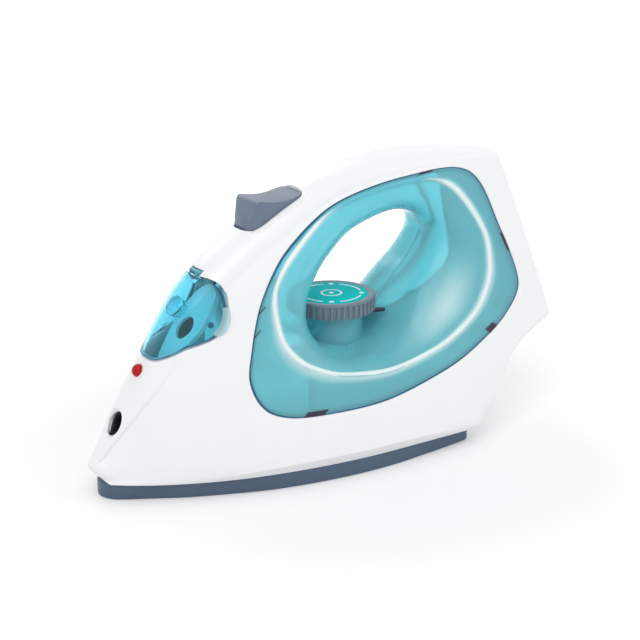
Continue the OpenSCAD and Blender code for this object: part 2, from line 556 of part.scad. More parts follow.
// Battery
module battery_box() color("whitesmoke") at_xz(battery_p, battery_a) difference() {
  union() {
    translate([-2 - cell_d - 2.4, -door_half - 2, -box_half - 1.6])
      cube([cell_d + 2.3, 2 * door_half + 4, 2 * box_half + 3.2]);
    translate([-9, -4, box_half + 1]) cube([6.9, 8, 7.2]);
  }
  for (s = [-1, 1]) translate([-2 - cell_d / 2 - 0.4, s * (cell_d / 2 + 0.4), -box_half]) {
    cylinder(d = cell_d + 0.3, h = 2 * box_half);
    translate([0, -cell_d / 2 - 0.15, 0]) cube([20, cell_d + 0.3, 2 * box_half]);
  }
  translate([-12, 0, door_screw_z]) rotate([0, 90, 0]) cylinder(r = 1.2 + run_fit, h = 20, $fn = 24);
}
module cells() color("orange") at_xz(battery_p, battery_a) for (s = [-1, 1])
  translate([-2 - cell_d / 2 - 0.4, s * (cell_d / 2 + 0.4), 0]) rotate([0, s > 0 ? 0 : 180, 0]) {
    translate([0, 0, -cell_len / 2]) cylinder(d = cell_d, h = cell_len - 1);
    translate([0, 0, cell_len / 2 - 1]) cylinder(d = 3.8, h = 1, $fn = 24);
  }
module battery_contacts() color("silver") at_xz(battery_p, battery_a) for (e = [-1, 1], s = [-1, 1])
  translate([-2 - cell_d / 2 - 3.4, s * (cell_d / 2 + 0.4) - 3, e > 0 ? cell_len / 2 : -box_half])
    cube([6, 6, 1.2]);
module battery_door() color("white") at_xz(battery_p, battery_a) difference() {
  translate([-1.9, gap - door_half, door_low + gap])
    cube([1.9, 2 * (door_half - gap), door_high - door_low - 2 * gap]);
  translate([-3, 0, door_screw_z]) rotate([0, 90, 0]) cylinder(r = 1.2, h = 9, $fn = 24);
  translate([-1.2, 0, door_screw_z]) rotate([0, 90, 0]) cylinder(r = 2.3, h = 3, $fn = 32);
}
module door_screw() color("silver") at_xz(battery_p, battery_a)
  translate([0, 0, door_screw_z]) rotate([0, 90, 0]) difference() {
    union() {
      translate([0, 0, -8.6]) cylinder(r = 1.2, h = 8, $fn = 24);
      translate([0, 0, -1.2]) cylinder(r = 2.2, h = 1, $fn = 32);
    }
    for (a = [0, 90]) rotate(a) translate([-1.5, -0.3, -0.8]) cube([3, 0.6, 2]);
  }

// Wires along the far side
wire_start = [battery_p[0] - 14.3 * cos(battery_a) - 22 * sin(battery_a), 9,
  battery_p[1] + 14.3 * sin(battery_a) - 22 * cos(battery_a)];
switch_route = concat([wire_start], drawn([[92, 10, 57.5], [84, 11, 54], [76, 12, 47], [66, 12, 32],
  [57, 12, 18], [49, 11, 12.6], [38, 11, 12.6], [22, 8, 18], [13, 4, 26], [11, 3, 31.6]]));
lamp_route = drawn([[2, 4, 31.6], [0, 6, 25], [-5, 10, 16], [-11, 11, 12.8], [-16, 13, 12.6], [-18.4, 22, 13],
  [-24, 27.8, 14], [-36, 27.8, 14.6], [-58, 25.5, 17], [-77, 18.5, 28], [-83, 10, 42], [-87.6, 3.4, 50.3]]);
module wires() color("firebrick") {
  path_tube(smooth_path(switch_route, 4), 1, 6);
  path_tube(smooth_path(lamp_route, 4), 1, 6);
}

left_shell();
right_shell();
left_panel();
right_panel();
soleplate();
dial_knob();
dial_label();
dial_shaft();
dial_pedestal();
dial_pointer();
dial_switch();
inner_frame();
spray_button();
button_spring();
pump_body();
pump_plunger();
intake_tube();
spray_hose();
spray_nozzle();
water_tank();
filler_neck();
filler_valve();
nose_cover();
cover_pin();
status_lamp();
lamp_board();
battery_box();
cells();
battery_contacts();
battery_door();
door_screw();
wires();
shell_screws();
sole_screws();
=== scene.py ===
# Toy steam iron: white two-half body, see-through hand tunnel, turning dial, spray button, nose cover.
# CAD frame in metres: the nose points to -X, the photographed side is -Y, the sole stands on z = 0.
# Sizes of the toy are written in millimetres, and MM turns them to metres.
import math
import bpy
import bmesh
from mathutils import Matrix, Vector


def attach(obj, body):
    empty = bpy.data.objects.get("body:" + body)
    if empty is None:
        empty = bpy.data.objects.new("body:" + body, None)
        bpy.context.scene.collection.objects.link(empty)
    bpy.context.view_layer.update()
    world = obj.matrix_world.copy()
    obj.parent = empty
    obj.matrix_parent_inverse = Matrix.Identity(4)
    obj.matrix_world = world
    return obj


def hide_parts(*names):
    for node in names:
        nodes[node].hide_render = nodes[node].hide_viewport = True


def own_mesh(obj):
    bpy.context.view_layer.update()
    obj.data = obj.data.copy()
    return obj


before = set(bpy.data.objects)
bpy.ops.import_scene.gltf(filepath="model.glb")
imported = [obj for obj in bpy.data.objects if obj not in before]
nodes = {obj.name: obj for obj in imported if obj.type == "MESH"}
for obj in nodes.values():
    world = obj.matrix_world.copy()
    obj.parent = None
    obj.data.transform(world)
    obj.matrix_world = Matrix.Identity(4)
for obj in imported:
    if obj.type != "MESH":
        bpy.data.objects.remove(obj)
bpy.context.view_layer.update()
scene = bpy.context.scene

# Camera and studio
# The camera stands 0.72 m off the middle of the toy, to the nose side and a little above it.
# Three large soft lamps and a pale sky light it, over a white table that keeps its soft shadow.
CAMERA_AT = (-0.3719, -0.5726, 0.2885)
MIDDLE = (0, 0, 0.06)
TABLE_HALF = 4
scene.view_settings.view_transform = "Standard"


def srgb(code):
    parts = [int(code[i:i + 2], 16) / 255 for i in (1, 3, 5)]
    return tuple(p / 12.92 if p <= 0.04045 else ((p + 0.055) / 1.055) ** 2.4 for p in parts) + (1.0,)


def add_node(tree, kind, links=(), inputs=None, **settings):
    n = tree.nodes.new(kind)
    for key, value in settings.items():
        setattr(n, key, value)
    for key, value in (inputs or {}).items():
        n.inputs[key].default_value = value
    for source, socket in links:
        tree.links.new(source, n.inputs[socket])
    return n


def stand_and_aim(o, place, target):
    scene.collection.objects.link(o)
    o.location = place
    o.rotation_euler = (Vector(target) - Vector(place)).to_track_quat("-Z", "Y").to_euler()


optics = bpy.data.cameras.new("studio_camera")
optics.lens = 87.7
optics.sensor_width = 36
optics.clip_start = 0.01
camera = bpy.data.objects.new("studio_camera", optics)
stand_and_aim(camera, CAMERA_AT, MIDDLE)
scene.camera = camera


def in_view(tree):
    # 1 for what the eye sees straight, in a reflection or through clear plastic
    path = add_node(tree, "ShaderNodeLightPath")
    seen = add_node(tree, "ShaderNodeMath", [(path.outputs["Is Camera Ray"], 0),
                                             (path.outputs["Is Glossy Ray"], 1)], operation="MAXIMUM")
    return add_node(tree, "ShaderNodeMath", [(seen.outputs[0], 0),
                                             (path.outputs["Is Transmission Ray"], 1)], operation="MAXIMUM")


sky = bpy.data.worlds.new("studio_sky")
scene.world = sky
sky.use_nodes = True
tree = sky.node_tree
tree.nodes.clear()
level = add_node(tree, "ShaderNodeMapRange", [(in_view(tree).outputs[0], "Value")],
                 {"To Min": 0.68, "To Max": 1.0})
glow = add_node(tree, "ShaderNodeBackground", [(level.outputs[0], "Strength")], {"Color": srgb("#ffffff")})
add_node(tree, "ShaderNodeOutputWorld", [(glow.outputs[0], "Surface")])


def soft_lamp(name, place, target, size, watts):
    data = bpy.data.lights.new(name, "AREA")
    data.shape = "DISK"
    data.size = size
    data.energy = watts
    stand_and_aim(bpy.data.objects.new(name, data), place, target)


soft_lamp("key_lamp", (-0.55, -0.55, 1.0), MIDDLE, 0.8, 3.8)
soft_lamp("heel_lamp", (0.9, -0.55, 0.65), MIDDLE, 0.7, 1.8)
soft_lamp("back_lamp", (0.1, 0.95, 0.8), (0, 0, 0.08), 0.8, 2.0)

table_mesh = bpy.data.meshes.new("table")
corners = [(x * TABLE_HALF, y * TABLE_HALF, 0) for x, y in ((-1, -1), (1, -1), (1, 1), (-1, 1))]
table_mesh.from_pydata(corners, [], [(0, 1, 2, 3)])
table = bpy.data.objects.new("table", table_mesh)
scene.collection.objects.link(table)
table_paint = bpy.data.materials.new("white_table_paint")
table_paint.use_nodes = True
tree = table_paint.node_tree
tree.nodes.clear()
matte = add_node(tree, "ShaderNodeBsdfDiffuse", inputs={"Color": srgb("#f2f2f2")})
spot = add_node(tree, "ShaderNodeTexCoord")
away = add_node(tree, "ShaderNodeVectorMath", [(spot.outputs["Object"], 0)], operation="LENGTH")
# the far table fades to plain white, the near table keeps the shadow
fade = add_node(tree, "ShaderNodeMapRange", [(away.outputs["Value"], "Value")],
                {"From Min": 0.12, "From Max": 0.45, "To Min": 0.14, "To Max": 0.46})
lift = add_node(tree, "ShaderNodeMath", [(in_view(tree).outputs[0], 0), (fade.outputs[0], 1)],
                operation="MULTIPLY")
shine = add_node(tree, "ShaderNodeEmission", [(lift.outputs[0], "Strength")])
both = add_node(tree, "ShaderNodeAddShader", [(matte.outputs[0], 0), (shine.outputs[0], 1)])
add_node(tree, "ShaderNodeOutputMaterial", [(both.outputs[0], "Surface")])
table_mesh.materials.append(table_paint)

# White body halves
# Two mirrored shells of glossy white ABS, injection moulded 2 mm thick. They meet on the centre plane,
# carry the clear panels in a step along their inner edge, and are held by five screws from the far side.
MM = 0.001
SHELL_WALL = 2.0
# side views of the body and of its seam with the panel: [x, z, how much the curve leans at the knot]
BODY = [[94, 130, 0], [42, 135.8, 1], [-6, 128, 1], [-45, 108.5, 1], [-73, 86, 1], [-96, 50.5, 1],
        [-119, 15, 0.3], [-113, 7.6, 0], [-55, 7.6, 1], [8, 7.6, 1], [60, 7.6, 0], [74, 20, 1], [89.5, 38, 1],
        [116, 50, 0], [104.45, 92, 1]]
SEAM = [[72, 124.5, 1], [36, 126.3, 1], [-2, 118.2, 1], [-29, 101.3, 1], [-44, 81.7, 1], [-52, 61, 1],
        [-54.5, 48, 1], [-48.5, 36, 1], [-34, 31.5, 1], [8, 31.7, 1], [46, 39, 1], [66, 46.2, 1],
        [85, 56.5, 1], [95.4, 70, 1], [87, 97, 1]]
# the outer edge at each knot: [reach inwards, fall to the centre plane, 0 for round to 1 for straight]
EDGE = [[6, 9, 0], [9.5, 40, 0], [9.5, 40, 0], [12, 40, 0], [12, 40, 0], [10, 40, 0], [6, 40, 0], [4, 3, 0.5],
        [5, 3.2, 1], [5, 3.2, 1], [4, 3, 0], [3, 3, 0], [3, 3, 0], [3, 3, 0], [3, 3.5, 0]]
KNOTS = len(BODY)
SHARP = 0.5
CORNER = 3.4
BELT = 13
HALF_BELT = 46.5
NOSE_TIP = -118
SHELL_SCREWS = [(-97, 18), (-50, 92), (86, 121.5), (84, 44), (66, 20.5)]


def hermite(p, q, m, n, t):
    return ((2 * t ** 3 - 3 * t * t + 1) * p + (t ** 3 - 2 * t * t + t) * m
            + (3 * t * t - 2 * t ** 3) * q + (t ** 3 - t * t) * n)


def lean(table, i):
    n = len(table)
    before, here, after = (Vector(table[k % n][:2]) for k in (i - 1, i, i + 1))
    reach = min((here - before).length, (after - here).length)
    return (after - before).normalized() * reach * table[i % n][2]


def along(table, u):
    # smooth closed curve through the knots; u counts them
    n = len(table)
    i = math.floor(u)
    here, after = (Vector(table[k % n][:2]) for k in (i, i + 1))
    return hermite(here, after, lean(table, i), lean(table, i + 1), u - i)


def outline(u):
    # the sharp corners of the drawing are rounded to about 3 mm, as a mould maker would
    k = round(u)
    if BODY[k % KNOTS][2] < SHARP:
        here = Vector(BODY[k % KNOTS][:2])
        near = [min(0.3, CORNER / (Vector(BODY[(k + s) % KNOTS][:2]) - here).length) for s in (-1, 1)]
        d = u - k
        if -near[0] < d < near[1]:
            t = (d + near[0]) / (near[0] + near[1])
            a, b = along(BODY, k - near[0]), along(BODY, k + near[1])
            return a * (1 - t) ** 2 + here * 2 * t * (1 - t) + b * t * t
    return along(BODY, u)


def edge_at(u):
    i = math.floor(u)
    s = (u - i) ** 2 * (3 - 2 * (u - i))
    return [a * (1 - s) + b * s for a, b in zip(EDGE[i % KNOTS], EDGE[(i + 1) % KNOTS])]


def clamp(v, low, high):
    return min(max(v, low), high)


def half_w(x, z):
    # half width of the body: widest at the belt, drawn in to the top and the nose, and a little to the heel
    up = z - BELT
    rise = max(up - 0.5, 0)
    front = NOSE_TIP + 0.58 * rise + 2.3e-11 * rise ** 6
    wide = HALF_BELT - 30.5 * up / 117
    blunt = 0.75 - 0.2 * clamp(up / 35, 0, 1)
    t = clamp((x - front) / (128 - 0.55 * up), 0, 1)
    back = max(x - 8, 0) / 85
    return wide * max(2 * t - t * t, 0.0001) ** blunt * (1 - 0.129 * back * back)


def on_side(p):
    return Vector((p[0], -half_w(p[0], p[1]), p[1]))


def edge_reach(u, length):
    return min(edge_at(u)[0], 0.85 * length)


def skin(u, w):
    # the outer skin of the near half, w in from the outline on spoke u
    p = outline(u)
    d = along(SEAM, u) - p
    length = d.length
    d /= length
    s = p + d * w
    a = edge_reach(u, length)
    if w >= a:
        return on_side(s)
    fall, straight = edge_at(u)[1:]
    edge = p + d * a
    h = half_w(edge[0], edge[1])
    k = 1 - w / a
    c = (1 - math.sqrt(max(1 - k * k, 0))) * (1 - straight) + k * straight
    return Vector((s[0], -(h - min(fall, h - 1.5) * c), s[1]))


def mirrored(p, side):
    # sections are drawn on the near side, -Y; side 1 puts them on the far side
    return Vector((p[0], -side * p[1], p[2]))


def piece(name, mesh):
    o = bpy.data.objects.new(name, mesh)
    scene.collection.objects.link(o)
    return o


def grid_mesh(name, rows, wrap=True):
    n, m = len(rows), len(rows[0])
    faces = []
    for i in range(n if wrap else n - 1):
        k = (i + 1) % n
        faces += [(i * m + j, i * m + j + 1, k * m + j + 1, k * m + j) for j in range(m - 1)]
    mesh = bpy.data.meshes.new(name)
    mesh.from_pydata([tuple(p * MM) for row in rows for p in row], [], faces)
    return mesh


def solid(name, bm, turn=None):
    # makes a finished bmesh a piece at its place
    if turn is not None:
        bmesh.ops.transform(bm, matrix=turn, verts=bm.verts)
    mesh = bpy.data.meshes.new(name)
    bm.to_mesh(mesh)
    bm.free()
    return piece(name, mesh)


def settle(o):
    # makes the modifiers' result the plain mesh of the piece
    bpy.context.view_layer.update()
    done = bpy.data.meshes.new_from_object(o.evaluated_get(bpy.context.evaluated_depsgraph_get()))
    o.modifiers.clear()
    o.data = done


def soften(o, degrees):
    # smooth faces, with every bend sharper than this left crisp
    o.data.polygons.foreach_set("use_smooth", [True] * len(o.data.polygons))
    o.data.set_sharp_from_angle(angle=math.radians(degrees))


def thicken(o, wall, rim=0):
    # grows the wall inwards
    m = o.modifiers.new("wall", "SOLIDIFY")
    m.thickness = wall * MM
    m.offset = -1
    m.material_offset_rim = rim
    settle(o)


def cut(o, tools, way="DIFFERENCE"):
    for tool in tools:
        m = o.modifiers.new("cut", "BOOLEAN")
        m.operation = way
        m.solver = "EXACT"
        m.object = tool
    settle(o)
    for tool in tools:
        bpy.data.objects.remove(tool)


def paint(o, material):
    o.data.materials.clear()
    o.data.materials.append(material)


def fix(o, body, slot, *stands_for):
    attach(o, body)
    if stands_for:
        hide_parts(*stands_for)


def rod(name, r1, r2, low, high, sides, turn):
    bm = bmesh.new()
    bmesh.ops.create_cone(bm, cap_ends=True, segments=sides, radius1=r1 * MM, radius2=r2 * MM,
                          depth=(high - low) * MM)
    bmesh.ops.translate(bm, vec=(0, 0, (high + low) * MM / 2), verts=bm.verts)
    return solid(name, bm, turn)


def block(name, low, high, turn=None):
    bm = bmesh.new()
    bmesh.ops.create_cube(bm, size=1)
    size = Vector(high) - Vector(low)
    for v in bm.verts:
        v.co = Vector([(v.co[k] + 0.5) * size[k] + low[k] for k in range(3)]) * MM
    return solid(name, bm, turn)


def stand(p, degrees):
    # a place on the centre plane, turned about Y
    return Matrix.Translation((p[0] * MM, 0, p[1] * MM)) @ Matrix.Rotation(math.radians(degrees), 4, "Y")


def sideways(p, degrees):
    # a place on the centre plane, its own z turned to point along Y
    return stand(p, 0) @ Matrix.Rotation(math.radians(degrees), 4, "X")


NOZZLE = stand(along(BODY, 5.4), -62)
LAMP = stand(along(BODY, 4.9), -58.2)
HINGE_AT = (-63.2, 93.4)
HINGE = sideways(HINGE_AT, 90)
STRAP = stand(HINGE_AT, -49)
DOOR_LEAN = -15.38
DOOR = stand((106.65, 84), DOOR_LEAN)
SLOT_GAP = 0.35
# edge of the nose cover as [spoke, distance back from the ridge]
COVER = [[3.735, 1.2], [3.75, 3.6], [3.78, 6.2], [3.83, 9], [3.92, 12.6], [4.05, 15.8], [4.2, 18.6],
         [4.35, 20.4], [4.46, 20.4], [4.54, 18.6], [4.59, 14.6], [4.64, 9.4], [4.69, 4.6], [4.74, 1]]


def through(points, v):
    # smooth open curve through the points; v counts them
    i = min(int(v), len(points) - 2)
    t = v - i
    a, b, c, d = (Vector(points[clamp(i + k, 0, len(points) - 1)]) for k in (-1, 0, 1, 2))
    return 0.5 * (2 * b + (c - a) * t + (2 * a - 5 * b + 4 * c - d) * t * t
                  + (3 * b - a - 3 * c + d) * t ** 3)


def cover_rows(per):
    # rows of skin across the nose, from the top edge of its cover to the lower edge
    rows = []
    for i in range((len(COVER) - 1) * per + 1):
        u, w = through(COVER, i / per)
        near = [skin(u, w), skin(u, w - min(1.1, 0.13 * w))]
        near += [skin(u, w * (1 - math.sin(math.radians(90 * k / 12)))) for k in range(2, 12)]
        top = outline(u)
        rows.append(near + [Vector((top[0], 0, top[1]))] + [mirrored(p, 1) for p in reversed(near)])
    return rows


def prism(name, rings, low, high):
    points, faces = [], []
    for ring in rings:
        if sum(a[0] * b[1] - b[0] * a[1] for a, b in zip(ring, ring[1:] + ring[:1])) < 0:
            ring = ring[::-1]
        s, n = len(points), len(ring)
        points += [(x * MM, y * MM, z * MM) for z in (low, high) for x, y in ring]
        faces += [tuple(range(s + n - 1, s - 1, -1)), tuple(range(s + n, s + 2 * n))]
        faces += [(s + i, s + (i + 1) % n, s + n + (i + 1) % n, s + n + i) for i in range(n)]
    mesh = bpy.data.meshes.new(name)
    mesh.from_pydata(points, [], faces)
    return piece(name, mesh)


def across(name, ring, half):
    # a side view carried across the centre plane
    o = prism(name, [[tuple(p) for p in ring]], -half, half)
    o.data.transform(Matrix.Rotation(math.radians(90), 4, "X"))
    return o


def cover_opening():
    # cut straight across the nose, clear of the cover's edge all round
    per, half_wall, gap = 3, 0.85, 0.55
    rows = cover_rows(per)
    last = len(rows) - 1
    ring = []
    for i, row in enumerate(rows):
        v = i / per
        u = through(COVER, v)[0]
        p = along(BODY, u)
        d = (along(SEAM, u) - p).normalized()
        t = (along(BODY, u + 0.05) - along(BODY, u - 0.05)).normalized()
        edge = rows[min(i + 1, last)][0] - rows[max(i - 1, 0)][0]
        under = row[0] - half_wall * (row[1] - row[0]).cross(edge).normalized()
        w = max((Vector((q[0], q[2])) - p).dot(d) for q in (row[0], under))
        slack = -0.9 + 0.45 * clamp(v - 4, 0, 4) + 0.175 * clamp(v - 8, 0, 2)
        ring.append(p + d * (w + gap) + t * slack)
    a, b = along(BODY, COVER[0][0] - 0.025), along(BODY, COVER[-1][0] + 0.032)
    ring = [a + Vector((-3.96, 4.5)), a] + ring + [b, b + Vector((-5.16, 3.06)), (-95, 92)]
    return across("cover_opening", ring, 40)


def button_ring(grow, count):
    # plan of the spray button: two 8 mm corners at the front, two 4.5 mm corners at the back
    ring = []
    for x, y, r, start in ((-18.5, 5, 4.5, 0), (-34.4, 1.5, 8, 90), (-34.4, -1.5, 8, 180),
                           (-18.5, -5, 4.5, 270)):
        for k in range(count + 1):
            a = math.radians(start + 90 * k / count)
            ring.append((x + (r + grow) * math.cos(a), y + (r + grow) * math.sin(a)))
    return ring


def screw_seat(x, z):
    return 0.55 * half_w(x, z)


def shell_tools(side):
    tools = [prism("button_slot", [button_ring(SLOT_GAP, 10)], 92, 137),
             rod("nozzle_bore", 5.3, 5.3, -16, 8, 64, NOZZLE),
             rod("nozzle_funnel", 4.6, 7.6, -2.6, 0.4, 64, NOZZLE),
             rod("lamp_bore", 2.95, 2.95, -8, 6, 48, LAMP),
             cover_opening(),
             rod("barrel_notch", 1.95, 1.95, -4.85, 4.85, 32, HINGE),
             block("strap_notch", (-5, -4.6, -1.3), (0, 4.6, 6), STRAP),
             block("door_opening", (-4, -11, -24), (4, 11, 32), DOOR)]
    if side > 0:
        for x, z in SHELL_SCREWS:
            seat = screw_seat(x, z)
            tools.append(rod("counterbore", 3, 3, seat, seat + 40, 32, sideways((x, z), -90)))
    return tools


def new_finish(name, ior=None):
    # a fresh material with its tree, its shader and the coordinates of the piece
    m = bpy.data.materials.new(name)
    m.use_nodes = True
    shader = m.node_tree.nodes["Principled BSDF"]
    if ior:
        shader.inputs["IOR"].default_value = ior
    coords = add_node(m.node_tree, "ShaderNodeTexCoord")
    return m, m.node_tree, shader, coords.outputs["Object"]


# Moulded ABS straight from a polished tool: clean gloss, with the faint slow waviness of a shrunk wall
shell_abs, tree, shader, coords = new_finish("white_gloss_abs", 1.53)
# sink marks are 20 to 40 mm apart, so about 30 waves to the metre
waves = add_node(tree, "ShaderNodeTexNoise", [(coords, "Vector")], {"Scale": 34.0, "Detail": 2.0})
tone = add_node(tree, "ShaderNodeMix", [(waves.outputs["Fac"], "Factor")],
                {6: srgb("#f5f6f9"), 7: srgb("#f8f9fb")}, data_type="RGBA")
tree.links.new(tone.outputs[2], shader.inputs["Base Color"])
polish = add_node(tree, "ShaderNodeMapRange", [(waves.outputs["Fac"], "Value")],
                  {"To Min": 0.27, "To Max": 0.31})
tree.links.new(polish.outputs[0], shader.inputs["Roughness"])
dents = add_node(tree, "ShaderNodeBump", [(waves.outputs["Fac"], "Height")],
                 {"Strength": 0.02, "Distance": 0.0005})
tree.links.new(dents.outputs[0], shader.inputs["Normal"])

spokes = [i / 12 for i in range(KNOTS * 12)]
for k, knot in enumerate(BODY):
    if knot[2] < SHARP:
        spokes += [(k + d / 400) % KNOTS for d in (-30, -20, -13, -7, -3, 3, 7, 13, 20, 30)]
spokes = sorted(set(round(u, 4) for u in spokes))
for side, node in ((-1, "left_shell"), (1, "right_shell")):
    rows = []
    for u in spokes:
        p = outline(u)
        length = (along(SEAM, u) - p).length
        a = edge_reach(u, length)
        flat = length - 0.4
        ws = [length, length - 0.12, flat] + [flat + (a - flat) * k / 7 for k in range(1, 8)]
        ws += [a * (1 - math.sin(math.radians(90 * k / 9))) for k in range(1, 10)]
        row = [skin(u, w) for w in ws]
        # the edge beside the panel is eased
        for j, dip in ((0, 0.4), (1, 0.12)):
            row[j][1] += dip
        row.append(Vector((p[0], 0, p[1])))
        rows.append([mirrored(q, side) for q in row])
    mesh = grid_mesh(node, rows)
    if side > 0:
        mesh.flip_normals()
    shell = piece("body_" + node, mesh)
    thicken(shell, SHELL_WALL)
    cut(shell, shell_tools(side))
    soften(shell, 32)
    paint(shell, shell_abs)
    fix(shell, "base", "white_shell", node)

# Clear side panels
# Two mirrored mouldings of aqua polycarbonate that snap into the shells. Each has a flat ring, a rounded
# rim with a painted highlight and half of the hand tunnel; the two halves meet on a thin line in the tunnel.
PANEL_WALL = 1.9
RIM = [[58, 121, 1], [30, 123.2, 1], [-4, 115.5, 1], [-26.5, 99, 1], [-37, 86, 1], [-38.5, 72, 1],
       [-36, 62, 1], [-28.5, 54, 1], [-14, 47.6, 1], [12, 44.6, 1], [42, 50, 1], [58, 56.5, 1], [70, 65, 1],
       [77.8, 79, 1], [76.5, 97.5, 1]]
THROAT = [[48, 105.8, 1], [32, 108.7, 1], [12, 102.6, 1], [-2, 92.6, 1], [-11.5, 80, 1], [-15.5, 71, 1],
          [-15.5, 64, 1], [-12, 57.5, 1], [-4, 53, 1], [8, 51.5, 1], [22, 55.5, 1], [33, 66, 1], [41, 76, 1],
          [49.5, 84.8, 1], [55.6, 96.5, 1]]
DIAL = Matrix.Translation((0.0063, 0, 0))


def shade(code, factor):
    return tuple(min(1, c * factor) for c in srgb(code)[:3]) + (1.0,)


def clear_plastic(name, code, see_through, rough):
    # Clear plastic tinted in the mass: polished faces, the tint deepens where light crosses more of it
    m, tree, shader, coords = new_finish(name, 1.3)
    shader.inputs["Transmission Weight"].default_value = see_through
    # flow streaks from the gate run along the body, about 12 mm apart
    lay = add_node(tree, "ShaderNodeMapping", [(coords, "Vector")], {"Scale": (0.35, 1, 1)})
    flow = add_node(tree, "ShaderNodeTexNoise", [(lay.outputs[0], "Vector")], {"Scale": 80.0, "Detail": 2.0})
    tone = add_node(tree, "ShaderNodeMix", [(flow.outputs["Fac"], "Factor")],
                    {6: srgb(code), 7: shade(code, 1.06)}, data_type="RGBA")
    tree.links.new(tone.outputs[2], shader.inputs["Base Color"])
    haze = add_node(tree, "ShaderNodeMapRange", [(flow.outputs["Fac"], "Value")],
                    {"To Min": rough, "To Max": rough + 0.05})
    tree.links.new(haze.outputs[0], shader.inputs["Roughness"])
    return m


AQUA_CLEAR = 0.68
aqua = clear_plastic("aqua_clear_polycarbonate", "#a0f2ff", AQUA_CLEAR, 0.05)
aqua_edge = clear_plastic("aqua_cut_edge", "#2f7090", 0.25, 0.15)
# painted highlight: the tint is painted pale and less clear along the rounded rim, standing in for its bright
# highlight and glow
tree = aqua.node_tree
shader = tree.nodes["Principled BSDF"]
rim = add_node(tree, "ShaderNodeAttribute", attribute_name="rim")
tint = shader.inputs["Base Color"].links[0].from_socket
painted_glow = add_node(tree, "ShaderNodeMix", [(rim.outputs["Fac"], "Factor"), (tint, 6)], {7: srgb("#f6ffff")},
                data_type="RGBA")
tree.links.new(painted_glow.outputs[2], shader.inputs["Base Color"])
painted_glow_clearness = add_node(tree, "ShaderNodeMapRange", [(rim.outputs["Fac"], "Value")],
                 {"To Min": AQUA_CLEAR, "To Max": 0.08})
tree.links.new(painted_glow_clearness.outputs[0], shader.inputs["Transmission Weight"])

# how much painted highlight each point gets from the seam over the rim, and how deep the points of the tunnel
# lie
RIM_PAINTED_HIGHLIGHT = (0, 0, 0, 0, 0, 0, 0, 0.05, 0.7, 1, 1, 1, 1, 0.9, 0.65, 0.08)
DEPTHS = (0.1, 0.18, 0.27, 0.36, 0.45, 0.54, 0.62, 0.7, 0.77, 0.83, 0.88, 0.92, 0.95, 0.972, 0.988, 0.996)
# painted glow: the deep wall on the heel side of the tunnel is painted paler and less clear, standing in for
# light there: how much, round which spoke and depth
HEEL_PAINTED_GLOW = 0.6
GLOW_SPOKE = 11.5
GLOW_DEPTH = 0.42
THINNEST = 0.08
DARK_COLUMNS = 3


def bump(x):
    # 1 in the middle, falling smoothly to 0 one unit away
    return max(1 - x * x, 0) ** 2


def tunnel_half(u):
    # one section from the seam over the rim to the throat, and how much painted highlight or glow each of its
    # points gets
    q, r, m = along(SEAM, u), along(RIM, u), along(THROAT, u)
    out, inn = (q - r), (m - r)
    ring = out.length
    out.normalize()
    h = half_w(r[0], r[1])
    # the rounded rim and its painted highlight thin away where they meet the seam over the top of the handle
    thin = clamp((abs(u - 1.15) - 0.55) / 0.6, THINNEST, 1)

    def ring_point(c, lift):
        p = on_side(c)
        p[1] -= lift
        return p

    def tunnel_point(s, lift):
        c = r + inn * s
        t = max(1 - s ** 3.4, 0) ** (1 / 3.4)
        return Vector((c[0], -h * (0.86 * t + 0.14 * (1 - s)) - lift, c[1]))

    groove = ((0.0, -0.45), (0.12, -0.13), (0.42, 0.0), (0.9, 0.0))
    row = [ring_point(q - out * back, lift) for back, lift in groove]
    flat = ring - 0.9 - 1.25 * thin
    row += [ring_point(q - out * (0.9 + flat * k / 5), 0.0) for k in range(1, 6)]
    row += [ring_point(r + out * back * thin, lift * thin)
            for back, lift in ((0.9, 0.26), (0.5, 0.45), (0.0, 0.52))]
    row += [tunnel_point(deep * thin / inn.length, lift * thin)
            for deep, lift in ((0.5, 0.45), (0.9, 0.26), (1.2, 0.0))]
    row += [tunnel_point(s, 0.0) for s in DEPTHS]
    row.append(Vector((m[0], -0.1, m[1])))
    # painted highlight along the rim, fading out where the rim thins
    painted_glow = [g * (thin - THINNEST) / (1 - THINNEST) for g in RIM_PAINTED_HIGHLIGHT]
    # painted glow on the deep heel-side wall of the tunnel
    heel = HEEL_PAINTED_GLOW * bump((u - GLOW_SPOKE) / 2.2)
    painted_glow += [heel * bump((s - GLOW_DEPTH) / GLOW_DEPTH) for s in DEPTHS[:-1]]
    return row, painted_glow + [0]


halves = [tunnel_half(i / 16) for i in range(KNOTS * 16)]
for side, node in ((-1, "left_panel"), (1, "right_panel")):
    mesh = grid_mesh(node, [[mirrored(p, side) for p in row] for row, painted_glow in halves])
    if side < 0:
        mesh.flip_normals()
    for m in (aqua, aqua_edge):
        mesh.materials.append(m)
    # the painted highlight and glow reach the material as the rim attribute
    glow = mesh.attributes.new("rim", "FLOAT", "POINT")
    glow.data.foreach_set("value", [g for row, painted_glow in halves for g in painted_glow])
    columns = len(halves[0][0]) - 1
    dark = [1 if i % columns < DARK_COLUMNS else 0 for i in range(len(mesh.polygons))]
    mesh.polygons.foreach_set("material_index", dark)
    panel = piece("clear_" + node, mesh)
    thicken(panel, PANEL_WALL)
    cut(panel, [rod("pedestal_hole", 14.7, 14.7, 38, 60, 72, DIAL)])
    soften(panel, 40)
    fix(panel, "base", "aqua_clear", node)

# Panel clips
# Small dark hooks that hold each panel along its seam; they reach through the edge of the clear plastic
# and show as dark marks. Each is given as its start and end along the seam and its reach inwards.
CLIPS = [(0.56, 0.76, 3.0), (13.58, 13.88, 1.8), (11.36, 11.62, 3.4), (8.04, 8.34, 3.2), (4.2, 4.23, 4.2),
         (4.62, 4.65, 4.2)]


